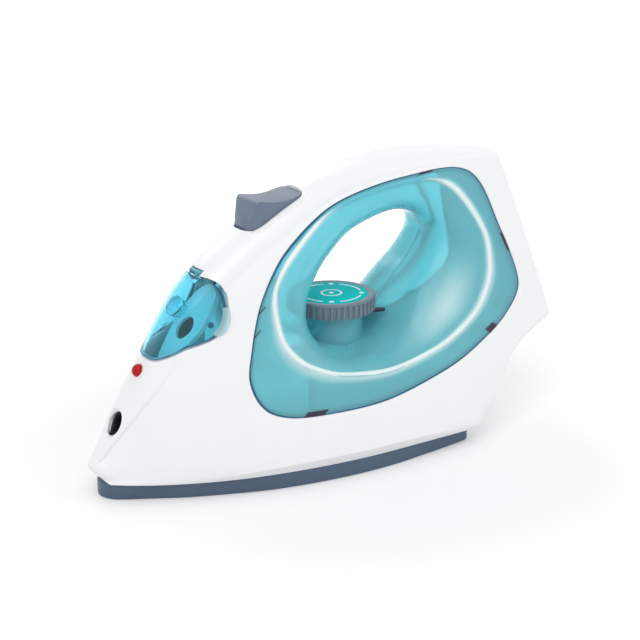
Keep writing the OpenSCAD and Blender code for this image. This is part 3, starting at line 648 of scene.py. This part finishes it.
def moulded(name, code, rough, spacing, grain=0.0):
    # Opaque moulded plastic: a faint mottle in tone and gloss, spacing in mm, and the fine grain of the tool
    m, tree, shader, coords = new_finish(name, 1.5)
    mottle = add_node(tree, "ShaderNodeTexNoise", [(coords, "Vector")],
                      {"Scale": 1000 / spacing, "Detail": 3.0})
    tone = add_node(tree, "ShaderNodeMix", [(mottle.outputs["Fac"], "Factor")],
                    {6: shade(code, 0.93), 7: shade(code, 1.07)}, data_type="RGBA")
    tree.links.new(tone.outputs[2], shader.inputs["Base Color"])
    gloss = add_node(tree, "ShaderNodeMapRange", [(mottle.outputs["Fac"], "Value")],
                     {"To Min": rough - 0.04, "To Max": rough + 0.06})
    tree.links.new(gloss.outputs[0], shader.inputs["Roughness"])
    # tool grain is about 0.3 mm apart
    pits = add_node(tree, "ShaderNodeTexNoise", [(coords, "Vector")], {"Scale": 3300.0, "Detail": 1.0})
    relief = add_node(tree, "ShaderNodeBump", [(pits.outputs["Fac"], "Height")],
                      {"Strength": 0.05 + grain, "Distance": 0.00003})
    tree.links.new(relief.outputs[0], shader.inputs["Normal"])
    return m


clip_dark = moulded("dark_clip_plastic", "#2a2340", 0.5, 5.0)
for side, name in ((-1, "panel_clips_left"), (1, "panel_clips_right")):
    bm = bmesh.new()
    for start, end, deep in CLIPS:
        ring = []
        for k in range(5):
            u = start + (end - start) * k / 4
            q = along(SEAM, u)
            inward = (along(RIM, u) - q).normalized()
            for back, under in ((0.2, -0.08), (0.2 + deep, -0.08), (0.2 + deep, 1.2), (0.2, 1.2)):
                p = on_side(q + inward * back)
                p[1] += under
                ring.append(bm.verts.new(mirrored(p, side) * MM))
        for k in range(4):
            for j in range(4):
                a, b = k * 4 + j, k * 4 + (j + 1) % 4
                bm.faces.new((ring[a], ring[b], ring[b + 4], ring[a + 4]))
        bm.faces.new(ring[:4])
        bm.faces.new(ring[16:])
    bmesh.ops.recalc_face_normals(bm, faces=bm.faces)
    clips = solid(name, bm)
    paint(clips, clip_dark)
    fix(clips, "base", "dark_marker")

# Soleplate
# One flat plate of slate-blue plastic with a rounded edge, 7.6 mm thick, screwed up into the shells
# by four screws in counterbores. The body overhangs it at the nose.
SOLE = [(-114.5, 1.5), (-113, 5), (-109, 9), (-98, 15), (-83, 23), (-66, 30), (-49, 36), (-31, 40),
        (-12, 42.5), (10, 43.2), (34, 41), (54, 38.4), (58.4, 37.4), (59.4, 36)]
SOLE_THICK = 7.6
SOLE_ROUND = 1.1
SOLE_SCREWS = [(x, s * y) for x, y in ((-84, 12), (50, 22)) for s in (-1, 1)]
half = [through(SOLE, (len(SOLE) - 1) * i / 90) for i in range(91)]
ring = [Vector((p[0], -p[1])) for p in half] + [Vector(p) for p in reversed(half)]
rows = []
for i, p in enumerate(ring):
    t = (ring[(i + 1) % len(ring)] - ring[i - 1]).normalized()
    inward = Vector((-t[1], t[0]))
    row = []
    for k in range(5):
        a = math.radians(22.5 * k)
        c = p + inward * SOLE_ROUND * (1 - math.sin(a))
        row.append(Vector((c[0], c[1], SOLE_ROUND * (1 - math.cos(a)))))
    rows.append(row + [Vector((c[0], c[1], SOLE_THICK - c[2])) for c in reversed(row)])
mesh = grid_mesh("sole_edge", rows)
bm = bmesh.new()
bm.from_mesh(mesh)
bpy.data.meshes.remove(mesh)
bm.verts.ensure_lookup_table()
wide = len(rows[0])
for column in (0, wide - 1):
    bm.faces.new([bm.verts[i * wide + column] for i in range(len(rows))])
bmesh.ops.recalc_face_normals(bm, faces=bm.faces)
sole = solid("sole_plate", bm)
tools = []
for x, y in SOLE_SCREWS:
    spot = Matrix.Translation((x * MM, y * MM, 0))
    tools.append(rod("screw_hole", 1.5, 1.5, -1, 9, 24, spot))
    tools.append(rod("counterbore", 3.4, 3.4, -1, 3, 32, spot))
cut(sole, tools)
soften(sole, 40)
paint(sole, moulded("slate_blue_plastic", "#495e76", 0.36, 9.0))
fix(sole, "base", "slate_sole", "soleplate")

# Inner works
# Frame, switch, tank and pump inside the body, and the battery box in the heel. Plain white and black
# mouldings that only show as soft shapes through the clear panels.
inner_white = moulded("white_inner_plastic", "#f2f5f6", 0.45, 8.0)
inner_grey = moulded("grey_inner_plastic", "#bccdd6", 0.5, 8.0)
black_plastic = moulded("black_plastic", "#15161c", 0.42, 5.0)
for node in ("pump_body", "pump_plunger", "filler_neck", "water_tank"):
    paint(nodes[node], inner_white)
for node in ("inner_frame", "battery_box"):
    paint(nodes[node], inner_grey)
paint(nodes["dial_switch"], black_plastic)
paint(nodes["filler_valve"], moulded("black_valve_rubber", "#07080b", 0.8, 5.0))
paint(nodes["dial_shaft"], moulded("grey_shaft_plastic", "#9a9aa0", 0.4, 5.0))
paint(nodes["lamp_board"], moulded("green_board_resin", "#1f5c39", 0.35, 2.0))
paint(nodes["cells"], moulded("orange_cell_sleeve", "#d08a2c", 0.25, 14.0))

# Dial
# A ribbed grey knob with a printed teal disc, on a clear tube that stands on the inner frame.
# A small dark pointer beside it shows the setting.
RIB_COUNT = 44


def revolve(name, profile, sides, turn=None, closed=False):
    # profile as [radius, height]; a radius of 0 closes the end, closed joins the last point to the first
    bm = bmesh.new()
    around = [math.radians(360 * k / sides) for k in range(sides)]
    loops = []
    for r, z in profile:
        if r == 0:
            loops.append([bm.verts.new((0, 0, z * MM))])
        else:
            loops.append([bm.verts.new((r * math.cos(a) * MM, r * math.sin(a) * MM, z * MM)) for a in around])
    for a, b in list(zip(loops, loops[1:])) + ([(loops[-1], loops[0])] if closed else []):
        for k in range(sides):
            j = (k + 1) % sides
            corners = (a[k % len(a)], a[j % len(a)], b[j % len(b)], b[k % len(b)])
            bm.faces.new(list(dict.fromkeys(corners)))
    bmesh.ops.recalc_face_normals(bm, faces=bm.faces)
    return solid(name, bm, turn)


def round_edges(o, width, segments, degrees):
    # a small round on every edge that bends more than this
    m = o.modifiers.new("edge", "BEVEL")
    m.width = width * MM
    m.segments = segments
    m.limit_method = "ANGLE"
    m.angle_limit = math.radians(degrees)
    settle(o)


def start_copies(name, *extra):
    # a Geometry Nodes tree with named inputs, its input node, and the name that each socket goes by
    tree = bpy.data.node_groups.new(name, "GeometryNodeTree")
    tree.is_modifier = True
    sockets = {}
    for key, kind in (("Geometry", "Geometry"), ("Finish", "Material"), *extra):
        socket = tree.interface.new_socket(key, in_out="INPUT", socket_type="NodeSocket" + kind)
        sockets[key] = socket.identifier
    tree.interface.new_socket("Geometry", in_out="OUTPUT", socket_type="NodeSocketGeometry")
    return tree, add_node(tree, "NodeGroupInput"), sockets


def end_copies(tree, given, *parts):
    both = add_node(tree, "GeometryNodeJoinGeometry", [(part, "Geometry") for part in parts])
    real = add_node(tree, "GeometryNodeRealizeInstances", [(both.outputs[0], "Geometry")])
    done = add_node(tree, "GeometryNodeSetMaterial", [(real.outputs[0], "Geometry"),
                                                      (given.outputs["Finish"], "Material")])
    add_node(tree, "NodeGroupOutput", [(done.outputs[0], "Geometry")])


def make_copies(o, tree, sockets, **values):
    m = o.modifiers.new(tree.name, "NODES")
    m.node_group = tree
    for key, value in values.items():
        m[sockets[key]] = value
    settle(o)


tube_profile = [(12.5, 43), (14.5, 43), (14.5, 64.2), (14.3, 64.6), (13.9, 64.7), (3.1, 64.7), (3.1, 63.5),
                (12.5, 63.5)]
pedestal = revolve("dial_tube", tube_profile, 96, DIAL, closed=True)
soften(pedestal, 40)
paint(pedestal, aqua)
fix(pedestal, "base", "aqua_clear", "dial_pedestal")

wedge = [(14.6, -1.6), (22, -1.6), (25, 0), (22, 1.6), (14.6, 1.6)]
pointer = prism("dial_pointer_wedge", [wedge], 62.8, 64.5)
pointer.data.transform(DIAL @ Matrix.Rotation(math.radians(-30), 4, "Z"))
round_edges(pointer, 0.3, 2, 30)
paint(pointer, clip_dark)
fix(pointer, "base", "dark_marker", "dial_pointer")

knob_profile = [(3, 65.2), (6, 65.2), (6, 70), (17.4, 70), (17.4, 65.2), (19.5, 65.2), (19.62, 65.4),
                (19.62, 71.0), (20.1, 71.15), (20.3, 71.4), (20.1, 71.85), (19.6, 72.15), (19.1, 72.2),
                (17.2, 72.2), (16.95, 72.1), (16.93, 71.8), (3, 71.8)]
knob = revolve("dial_knob_body", knob_profile, 132, closed=True)
rib_plan = [(19.4, -0.78), (20.15, -0.66), (20.4, -0.4), (20.4, 0.4), (20.15, 0.66), (19.4, 0.78)]
rib = prism("rib", [rib_plan], 65.3, 71.3)
tree, given, sockets = start_copies("rib_circle", ("Rib", "Object"), ("Count", "Int"))
shape = add_node(tree, "GeometryNodeObjectInfo", [(given.outputs["Rib"], "Object")])
spots = add_node(tree, "GeometryNodePoints", [(given.outputs["Count"], "Count")])
index = add_node(tree, "GeometryNodeInputIndex")
share = add_node(tree, "ShaderNodeMath", [(index.outputs[0], 0), (given.outputs["Count"], 1)],
                 operation="DIVIDE")
angle = add_node(tree, "ShaderNodeMath", [(share.outputs[0], 0)], {1: math.tau}, operation="MULTIPLY")
euler = add_node(tree, "ShaderNodeCombineXYZ", [(angle.outputs[0], "Z")])
turn = add_node(tree, "FunctionNodeEulerToRotation", [(euler.outputs[0], "Euler")])
copies = add_node(tree, "GeometryNodeInstanceOnPoints",
                  [(spots.outputs[0], "Points"), (shape.outputs["Geometry"], "Instance"),
                   (turn.outputs[0], "Rotation")])
end_copies(tree, given, given.outputs["Geometry"], copies.outputs[0])
knob_grey = moulded("satin_grey_plastic", "#71828d", 0.42, 4.0, 0.05)
make_copies(knob, tree, sockets, Rib=rib, Count=RIB_COUNT, Finish=knob_grey)
bpy.data.objects.remove(rib)
knob.data.transform(DIAL)
soften(knob, 35)
fix(knob, "dial", "grey_knob", "dial_knob")

# Dial print
# A teal plastic sticker on the knob with a pale printed scale: four dots, four arcs and a plain centre ring.
# The marks turn with the knob; at rest they face the camera squarely.
SCALE_R = 13.9
CENTRE_R = 4.6
LINE_HALF = 0.45
DOT_R = 1.2
FIRST_DOT = 57


def arc(r, start, end, count):
    angles = [math.radians(start + (end - start) * k / count) for k in range(count + 1)]
    inner = [((r - LINE_HALF) * math.cos(a), (r - LINE_HALF) * math.sin(a)) for a in reversed(angles)]
    return inner + [((r + LINE_HALF) * math.cos(a), (r + LINE_HALF) * math.sin(a)) for a in angles]


def dot(around, degrees):
    x, y = around * math.cos(math.radians(degrees)), around * math.sin(math.radians(degrees))
    angles = [math.tau * k / 24 for k in range(24)]
    return [(x + DOT_R * math.cos(a), y + DOT_R * math.sin(a)) for a in angles]


# Printed vinyl: an even, nearly dull face
sticker = moulded("teal_sticker_vinyl", "#06c4c8", 0.6, 6.0)
sticker.node_tree.nodes["Principled BSDF"].inputs["Specular IOR Level"].default_value = 0.05
disc = [(0, 71.8), (16.85, 71.8), (16.85, 72.1), (16.7, 72.16), (0, 72.16)]
label = revolve("dial_sticker", disc, 120, DIAL)
soften(label, 40)
paint(label, sticker)
fix(label, "dial", "teal_label", "dial_label")
marks = []
for degrees in range(FIRST_DOT, FIRST_DOT + 360, 90):
    marks.append(dot(SCALE_R, degrees))
    marks.append(arc(SCALE_R, degrees + 16, degrees + 74, 24))
marks += [arc(CENTRE_R, 0, 180, 32), arc(CENTRE_R, 180, 360, 32), dot(0, 0)]
scale = prism("dial_scale_print", marks, 72.15, 72.22)
scale.data.transform(DIAL)
paint(scale, moulded("pale_print_ink", "#dcfdf9", 0.4, 3.0))
fix(scale, "dial", "teal_label")

# Spray button
# A wedge of satin slate plastic with a dished top and rounded edges. It slides straight down in a white
# collar of the body, on the pump rod, and a steel coil spring round the rod lifts it again.
BUTTON_TOP = [(-42.6, 104), (-38.8, 121), (-38.4, 122), (-37.6, 122.7), (-36.6, 123), (-33.4, 122.4),
              (-30, 121.9), (-26.6, 121.7), (-23, 121.9), (-19, 122.7), (-16, 123.5), (-13, 124.2)]
COLLAR_BELOW = 1.3
COIL_X = -30
COIL_R = 5.2
COIL_FOOT = 84.5
COIL_HIGH = 20
COIL_TURNS = 7
collar = prism("button_guide_collar", [button_ring(1.6, 12)], 100, 137)
cut(collar, [prism("slot", [button_ring(SLOT_GAP, 12)], 90, 140)])
ridge = [along(BODY, 2 + k / 10) for k in range(15)]
below = []
for k, p in enumerate(ridge):
    t = ridge[min(k + 1, 14)] - ridge[max(k - 1, 0)]
    below.append(p + COLLAR_BELOW * Vector((-t[1], t[0])).normalized())
cut(collar, [across("collar_side", below + [(-62, 102), (-6, 102)], 20)], "INTERSECT")
soften(collar, 40)
paint(collar, shell_abs)
fix(collar, "base", "white_shell")

button = prism("thumb_button", [button_ring(0, 14)], 95, 135)
cut(button, [across("button_side", [(-44, 101), *BUTTON_TOP, (-13, 111)], 20)], "INTERSECT")
round_edges(button, 1.1, 4, 38)
soften(button, 50)
paint(button, moulded("satin_slate_plastic", "#69758a", 0.38, 7.0, 0.05))
fix(button, "button", "grey_button", "spray_button")


def sweep(name, rows):
    # a skin through closed sections, capped at both ends
    bm = bmesh.new()
    loops = [[bm.verts.new(p * MM) for p in row] for row in rows]
    sides = len(rows[0])
    for a, b in zip(loops, loops[1:]):
        for k in range(sides):
            bm.faces.new((a[k], a[(k + 1) % sides], b[(k + 1) % sides], b[k]))
    bm.faces.new(loops[0])
    bm.faces.new(loops[-1])
    bmesh.ops.recalc_face_normals(bm, faces=bm.faces)
    o = solid(name, bm)
    soften(o, 50)
    return o


def tube(name, path, r, sides):
    # round section carried along the path without twist
    rows = []
    up = Vector((0.31, 0.92, 0.23))
    around = [math.tau * k / sides for k in range(sides)]
    for i, p in enumerate(path):
        t = (path[min(i + 1, len(path) - 1)] - path[max(i - 1, 0)]).normalized()
        up = (up - t * up.dot(t)).normalized()
        out = t.cross(up)
        rows.append([p + r * (up * math.cos(a) + out * math.sin(a)) for a in around])
    return sweep(name, rows)


def steel(name, code, rough):
    # Drawn or plated steel with fine specks of wear, about 0.4 mm apart
    m, tree, shader, coords = new_finish(name)
    shader.inputs["Metallic"].default_value = 1.0
    shader.inputs["Base Color"].default_value = srgb(code)
    specks = add_node(tree, "ShaderNodeTexNoise", [(coords, "Vector")], {"Scale": 2500.0, "Detail": 2.0})
    wear = add_node(tree, "ShaderNodeMapRange", [(specks.outputs["Fac"], "Value")],
                    {"To Min": rough - 0.06, "To Max": rough + 0.1})
    tree.links.new(wear.outputs[0], shader.inputs["Roughness"])
    return m


steps = 32 * COIL_TURNS
coil = []
for k in range(steps + 1):
    a = math.tau * k / 32
    high = COIL_FOOT + COIL_HIGH * k / steps
    coil.append(Vector((COIL_X + COIL_R * math.cos(a), COIL_R * math.sin(a), high)))
spring = tube("button_coil_spring", coil, 0.5, 10)
paint(spring, steel("spring_wire", "#c4c6ca", 0.3))
fix(spring, "base", "wire_steel", "button_spring")
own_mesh(spring)

# Spray nozzle
# A black moulded cup set back in its hole low on the nose; the hose plugs in behind it.
# Its open end faces forward and its floor is closed.
cup = [(0, -9.4), (4.2, -9.4), (4.2, -3.8), (4.4, -3.5), (5.2, -3.5), (5.2, -11), (0, -11)]
nozzle = revolve("nozzle_cup", cup, 64, NOZZLE)
soften(nozzle, 40)
paint(nozzle, black_plastic)
fix(nozzle, "base", "black_part", "spray_nozzle")

# Hose and wires
# A soft vinyl hose from the pump to the nozzle and a tube from the tank, and two red insulated wires
# from the battery box to the switch and on to the lamp, laid along the far wall.
HOSE = [(-35.5, 0, 51), (-39, 0, 51), (-43, 0, 51.2), (-50, 6, 54), (-60, 10, 53), (-76, 7, 49.5),
        (-85, 0, 38), (-88.8, 0, 23.3), (-93.2, 0, 25.6)]
WIRES = [[(98.7, 9, 59), (92, 10, 57.5), (84, 11, 54), (76, 12, 47), (66, 12, 32), (57, 12, 18),
          (49, 11, 12.6), (38, 11, 12.6), (22, 8, 18), (13, 4, 26), (11, 3, 31.6)],
         [(2, 4, 31.6), (0, 6, 25), (-5, 10, 16), (-11, 11, 12.8), (-16, 13, 12.6), (-18.4, 22, 13),
          (-24, 27.8, 14), (-36, 27.8, 14.6), (-58, 25.5, 17), (-77, 18.5, 28), (-83, 10, 42),
          (-87.6, 3.4, 50.3)]]


def laid(route):
    return [through(route, k / 10) for k in range(10 * (len(route) - 1) + 1)]


vinyl = clear_plastic("clear_vinyl_hose", "#e4eef0", 0.6, 0.25)
hose = tube("spray_hose_vinyl", laid(HOSE), 1.5, 16)
paint(hose, vinyl)
fix(hose, "base", "clear_hose", "spray_hose")
paint(nodes["intake_tube"], vinyl)
red_sleeve = moulded("red_wire_sleeve", "#a32420", 0.4, 3.0)
for k, route in enumerate(WIRES):
    wire = tube("insulated_wire_%d" % (k + 1), laid(route), 1, 12)
    paint(wire, red_sleeve)
    fix(wire, "base", "red_wire", *(["wires"] if k == 0 else []))

# Nose cover
# A clear aqua flap moulded to the curve of the nose, hinged on a steel pin at its top edge. It has a ring
# and two dark catch pegs on its underside, and a finger tab on each side lifts it.
COVER_WALL = 1.7
PEG_AT = (4.36, 15.4)
cover_clear = clear_plastic("aqua_cover_clear", "#9ee8f6", 0.97, 0.03)
cover_blue = clear_plastic("aqua_cover_edge", "#356f95", 0.3, 0.15)
tab_clear = clear_plastic("aqua_tab_clear", "#d4f3fa", 0.55, 0.1)
rows = cover_rows(5)
mesh = grid_mesh("nose_cover", rows, wrap=False)
# the rim takes the next material along, so the edge colour is listed twice
for m in (cover_clear, cover_blue, cover_blue):
    mesh.materials.append(m)
wide = len(rows[0]) - 1
last = len(rows) - 2
blue = [1 if j in (0, wide - 1) or i in (0, 1, last) else 0 for i in range(last + 1) for j in range(wide)]
mesh.polygons.foreach_set("material_index", blue)
cover = piece("clear_nose_cover", mesh)
thicken(cover, COVER_WALL, rim=1)
ring_profile = [(0, 8.8), (3.3, 8.8), (3.3, 6.4), (4.2, 6.4), (4.5, 6.7), (4.5, 10.6), (0, 10.6)]
ring_turn = stand((-70.5, 69.5), -50.5) @ Matrix.Translation((0.0053, 0, 0))
cut(cover, [rod("barrel", 1.6, 1.6, -4.5, 4.5, 32, HINGE),
            block("strap", (-5, -4.2, -0.4), (0, 4.2, 1.2), STRAP),
            revolve("ring", ring_profile, 64, ring_turn)], "UNION")
cut(cover, [rod("pin_hole", 0.88, 0.88, -15, 15, 24, HINGE)])
soften(cover, 40)
fix(cover, "cover", "aqua_clear", "nose_cover")


def tab_section(v, f):
    # section of the finger tab at point v of the cover's edge; f is how far it stands out, 0 to 1
    u, w = through(COVER, v)
    c = skin(u, w)
    t = (skin(*through(COVER, v + 0.1)) - skin(*through(COVER, v - 0.1))).normalized()
    n = (skin(u, w + 0.4) - skin(u, w - 0.4)).cross(skin(u + 0.02, w) - skin(u - 0.02, w)).normalized()
    n = -n if n[1] > 0 else n
    b = t.cross(n)
    b = -b if b.dot(c - skin(4.3, 8)) < 0 else b
    section = [(-1.6, -0.4), (-0.3, -0.4), (0.1, 0.45), (0.1 + 1.9 * f, 0.45),
               (0.2 + 1.95 * f, 0.5 + 0.25 * f), (0.1 + 1.9 * f, 0.55 + 0.45 * f),
               (-0.6, 0.55 + 0.45 * f), (-1.6, 0.2)]
    return [c + b * x + n * z for x, z in section]


tab_rows = [tab_section(5.4 + 3.2 * k / 24, max(math.sin(math.pi * k / 24), 0) ** 0.5) for k in range(25)]
peg_foot = skin(*PEG_AT)
u, w = PEG_AT
peg_way = (skin(u + 0.06, w) - skin(u - 0.06, w)).cross(skin(u, w + 1) - peg_foot).normalized()
peg_way = -peg_way if peg_way[1] < 0 else peg_way
peg_turn = Matrix.Translation(peg_foot * MM) @ peg_way.to_track_quat("Z", "Y").to_matrix().to_4x4()
peg_blue = moulded("dark_blue_peg", "#2c5f86", 0.4, 3.0)
for side, name in ((-1, "left"), (1, "right")):
    tab = sweep("finger_tab_" + name, [[mirrored(p, side) for p in row] for row in tab_rows])
    paint(tab, tab_clear)
    fix(tab, "cover", "aqua_clear")
    peg = revolve("catch_peg_" + name, [(0, 1.2), (1.3, 1.2), (1.3, 4.2), (1.0, 4.5), (0, 4.5)], 24,
                  Matrix.Scale(-side, 4, (0, 1, 0)) @ peg_turn)
    if side > 0:
        peg.data.flip_normals()
    soften(peg, 40)
    paint(peg, peg_blue)
    fix(peg, "cover", "aqua_clear")
paint(nodes["cover_pin"], steel("hinge_pin_steel", "#c2c4c8", 0.28))

# Lamp
# A dark red lens of clear plastic with a domed end, pushed into the nose from inside.
# Its small board is behind it.
LENS_R = 2.9
dome = [(LENS_R * math.cos(math.radians(a)), 0.2 + 2.5 * math.sin(math.radians(a))) for a in range(9, 90, 9)]
lens = revolve("red_lamp_lens", [(0, -6), (LENS_R, -6), (LENS_R, 0.2), *dome, (0, 2.7)], 48, LAMP)
soften(lens, 40)
paint(lens, clear_plastic("red_lens_plastic", "#d0121a", 0.3, 0.06))
fix(lens, "base", "red_lamp", "status_lamp")

# Battery door and contacts
# A flat white cover in the heel, held by one screw at its top, over two cells and their sheet steel
# contacts.
DOOR_SCREW_UP = 28.05
screw_turn = Matrix.Translation((0, 0, DOOR_SCREW_UP * MM)) @ Matrix.Rotation(math.radians(90), 4, "Y")
door = block("heel_battery_door", (-1.9, -10.65, -23.65), (0, 10.65, 31.65))
cut(door, [rod("door_screw_hole", 1.2, 1.2, -4, 4, 24, screw_turn),
           rod("door_screw_seat", 2.3, 2.3, -1.2, 3, 32, screw_turn)])
round_edges(door, 0.4, 3, 60)
door.data.transform(DOOR)
soften(door, 40)
paint(door, shell_abs)
fix(door, "door", "white_shell", "battery_door")
paint(nodes["battery_contacts"], steel("contact_strip_steel", "#c8c9cc", 0.32))

# Screws
# Zinc plated cross-head screws: five in moulded bosses of the far shell, four up through the sole, one in
# the battery door.
BOSS_R = 4.4
SLOT_HALF = 0.35
zinc = steel("zinc_plated_steel", "#b9bcc0", 0.34)
tree, given, sockets = start_copies("screw_set", ("Head", "Object"), ("Shank", "Object"), ("Turn", "Vector"))
turn = add_node(tree, "FunctionNodeEulerToRotation", [(given.outputs["Turn"], "Euler")])
reach = add_node(tree, "GeometryNodeInputNamedAttribute", inputs={"Name": "reach"}, data_type="FLOAT")
stretch = add_node(tree, "ShaderNodeCombineXYZ", [(reach.outputs["Attribute"], "Z")], {"X": 1.0, "Y": 1.0})
parts = []
for name, links in (("Head", []), ("Shank", [(stretch.outputs[0], "Scale")])):
    shape = add_node(tree, "GeometryNodeObjectInfo", [(given.outputs[name], "Object")])
    copies = add_node(tree, "GeometryNodeInstanceOnPoints",
                      [(given.outputs["Geometry"], "Points"), (shape.outputs["Geometry"], "Instance"),
                       (turn.outputs[0], "Rotation")] + links)
    parts.append(copies.outputs[0])
end_copies(tree, given, *parts)


def screw_set(name, spots, lengths, turn, head, high, shank, slot):
    # the head stands on the spot and the shank reaches back from it, each to its own length
    top = revolve("head", [(0, 0), (head, 0), (head, high * 0.6), (head * 0.93, high * 0.85),
                           (head * 0.75, high), (0, high)], 40)
    cut(top, [block("slot", (-slot, -SLOT_HALF, high * 0.3), (slot, SLOT_HALF, high + 1)),
              block("slot", (-SLOT_HALF, -slot, high * 0.3), (SLOT_HALF, slot, high + 1))])
    # drawn 1 m long, so that the reach in metres is its scale
    stem = revolve("stem", [(0, 0), (shank, 0), (shank, -0.94), (shank * 0.4, -1), (0, -1)], 24)
    stem.data.transform(Matrix.Scale(1000, 4, (0, 0, 1)))
    mesh = bpy.data.meshes.new(name)
    mesh.from_pydata([tuple(p) for p in spots], [], [])
    mesh.attributes.new("reach", "FLOAT", "POINT").data.foreach_set("value", [v * MM for v in lengths])
    o = piece(name, mesh)
    make_copies(o, tree, sockets, Head=top, Shank=stem, Turn=turn, Finish=zinc)
    for tool in (top, stem):
        bpy.data.objects.remove(tool)
    soften(o, 40)
    return o


for k, (x, z) in enumerate(SHELL_SCREWS):
    seat = screw_seat(x, z)
    around = [math.radians(45 * j) for j in range(8)]
    end = min(half_w(x + BOSS_R * math.cos(a), z + BOSS_R * math.sin(a)) for a in around) - 1.4
    profile = [(1.5, 0.3), (BOSS_R, 0.3), (BOSS_R, end), (3, end), (3, seat), (1.5, seat)]
    boss = revolve("far_screw_boss_%d" % (k + 1), profile, 40, sideways((x, z), -90), closed=True)
    soften(boss, 40)
    paint(boss, shell_abs)
    fix(boss, "base", "white_shell")
seats = [Vector((x, screw_seat(x, z), z)) * MM for x, z in SHELL_SCREWS]
body_screws = screw_set("body_screws", seats, [half_w(x, z) for x, z in SHELL_SCREWS],
                        (math.radians(-90), 0, 0), 2.7, 2, 1.45, 1.7)
fix(body_screws, "base", "screw_steel", "shell_screws")
seats = [Vector((x, y, 3)) * MM for x, y in SOLE_SCREWS]
plate_screws = screw_set("plate_screws", seats, [14] * 4, (math.pi, 0, 0), 3, 2, 1.5, 1.8)
fix(plate_screws, "base", "screw_steel", "sole_screws")
seat = DOOR @ (Vector((-1.2, 0, DOOR_SCREW_UP)) * MM)
door_screw = screw_set("battery_door_screw", [seat], [7.4], (0, math.radians(90 + DOOR_LEAN), 0),
                       2.2, 1, 1.2, 1.5)
fix(door_screw, "door", "screw_steel", "door_screw")
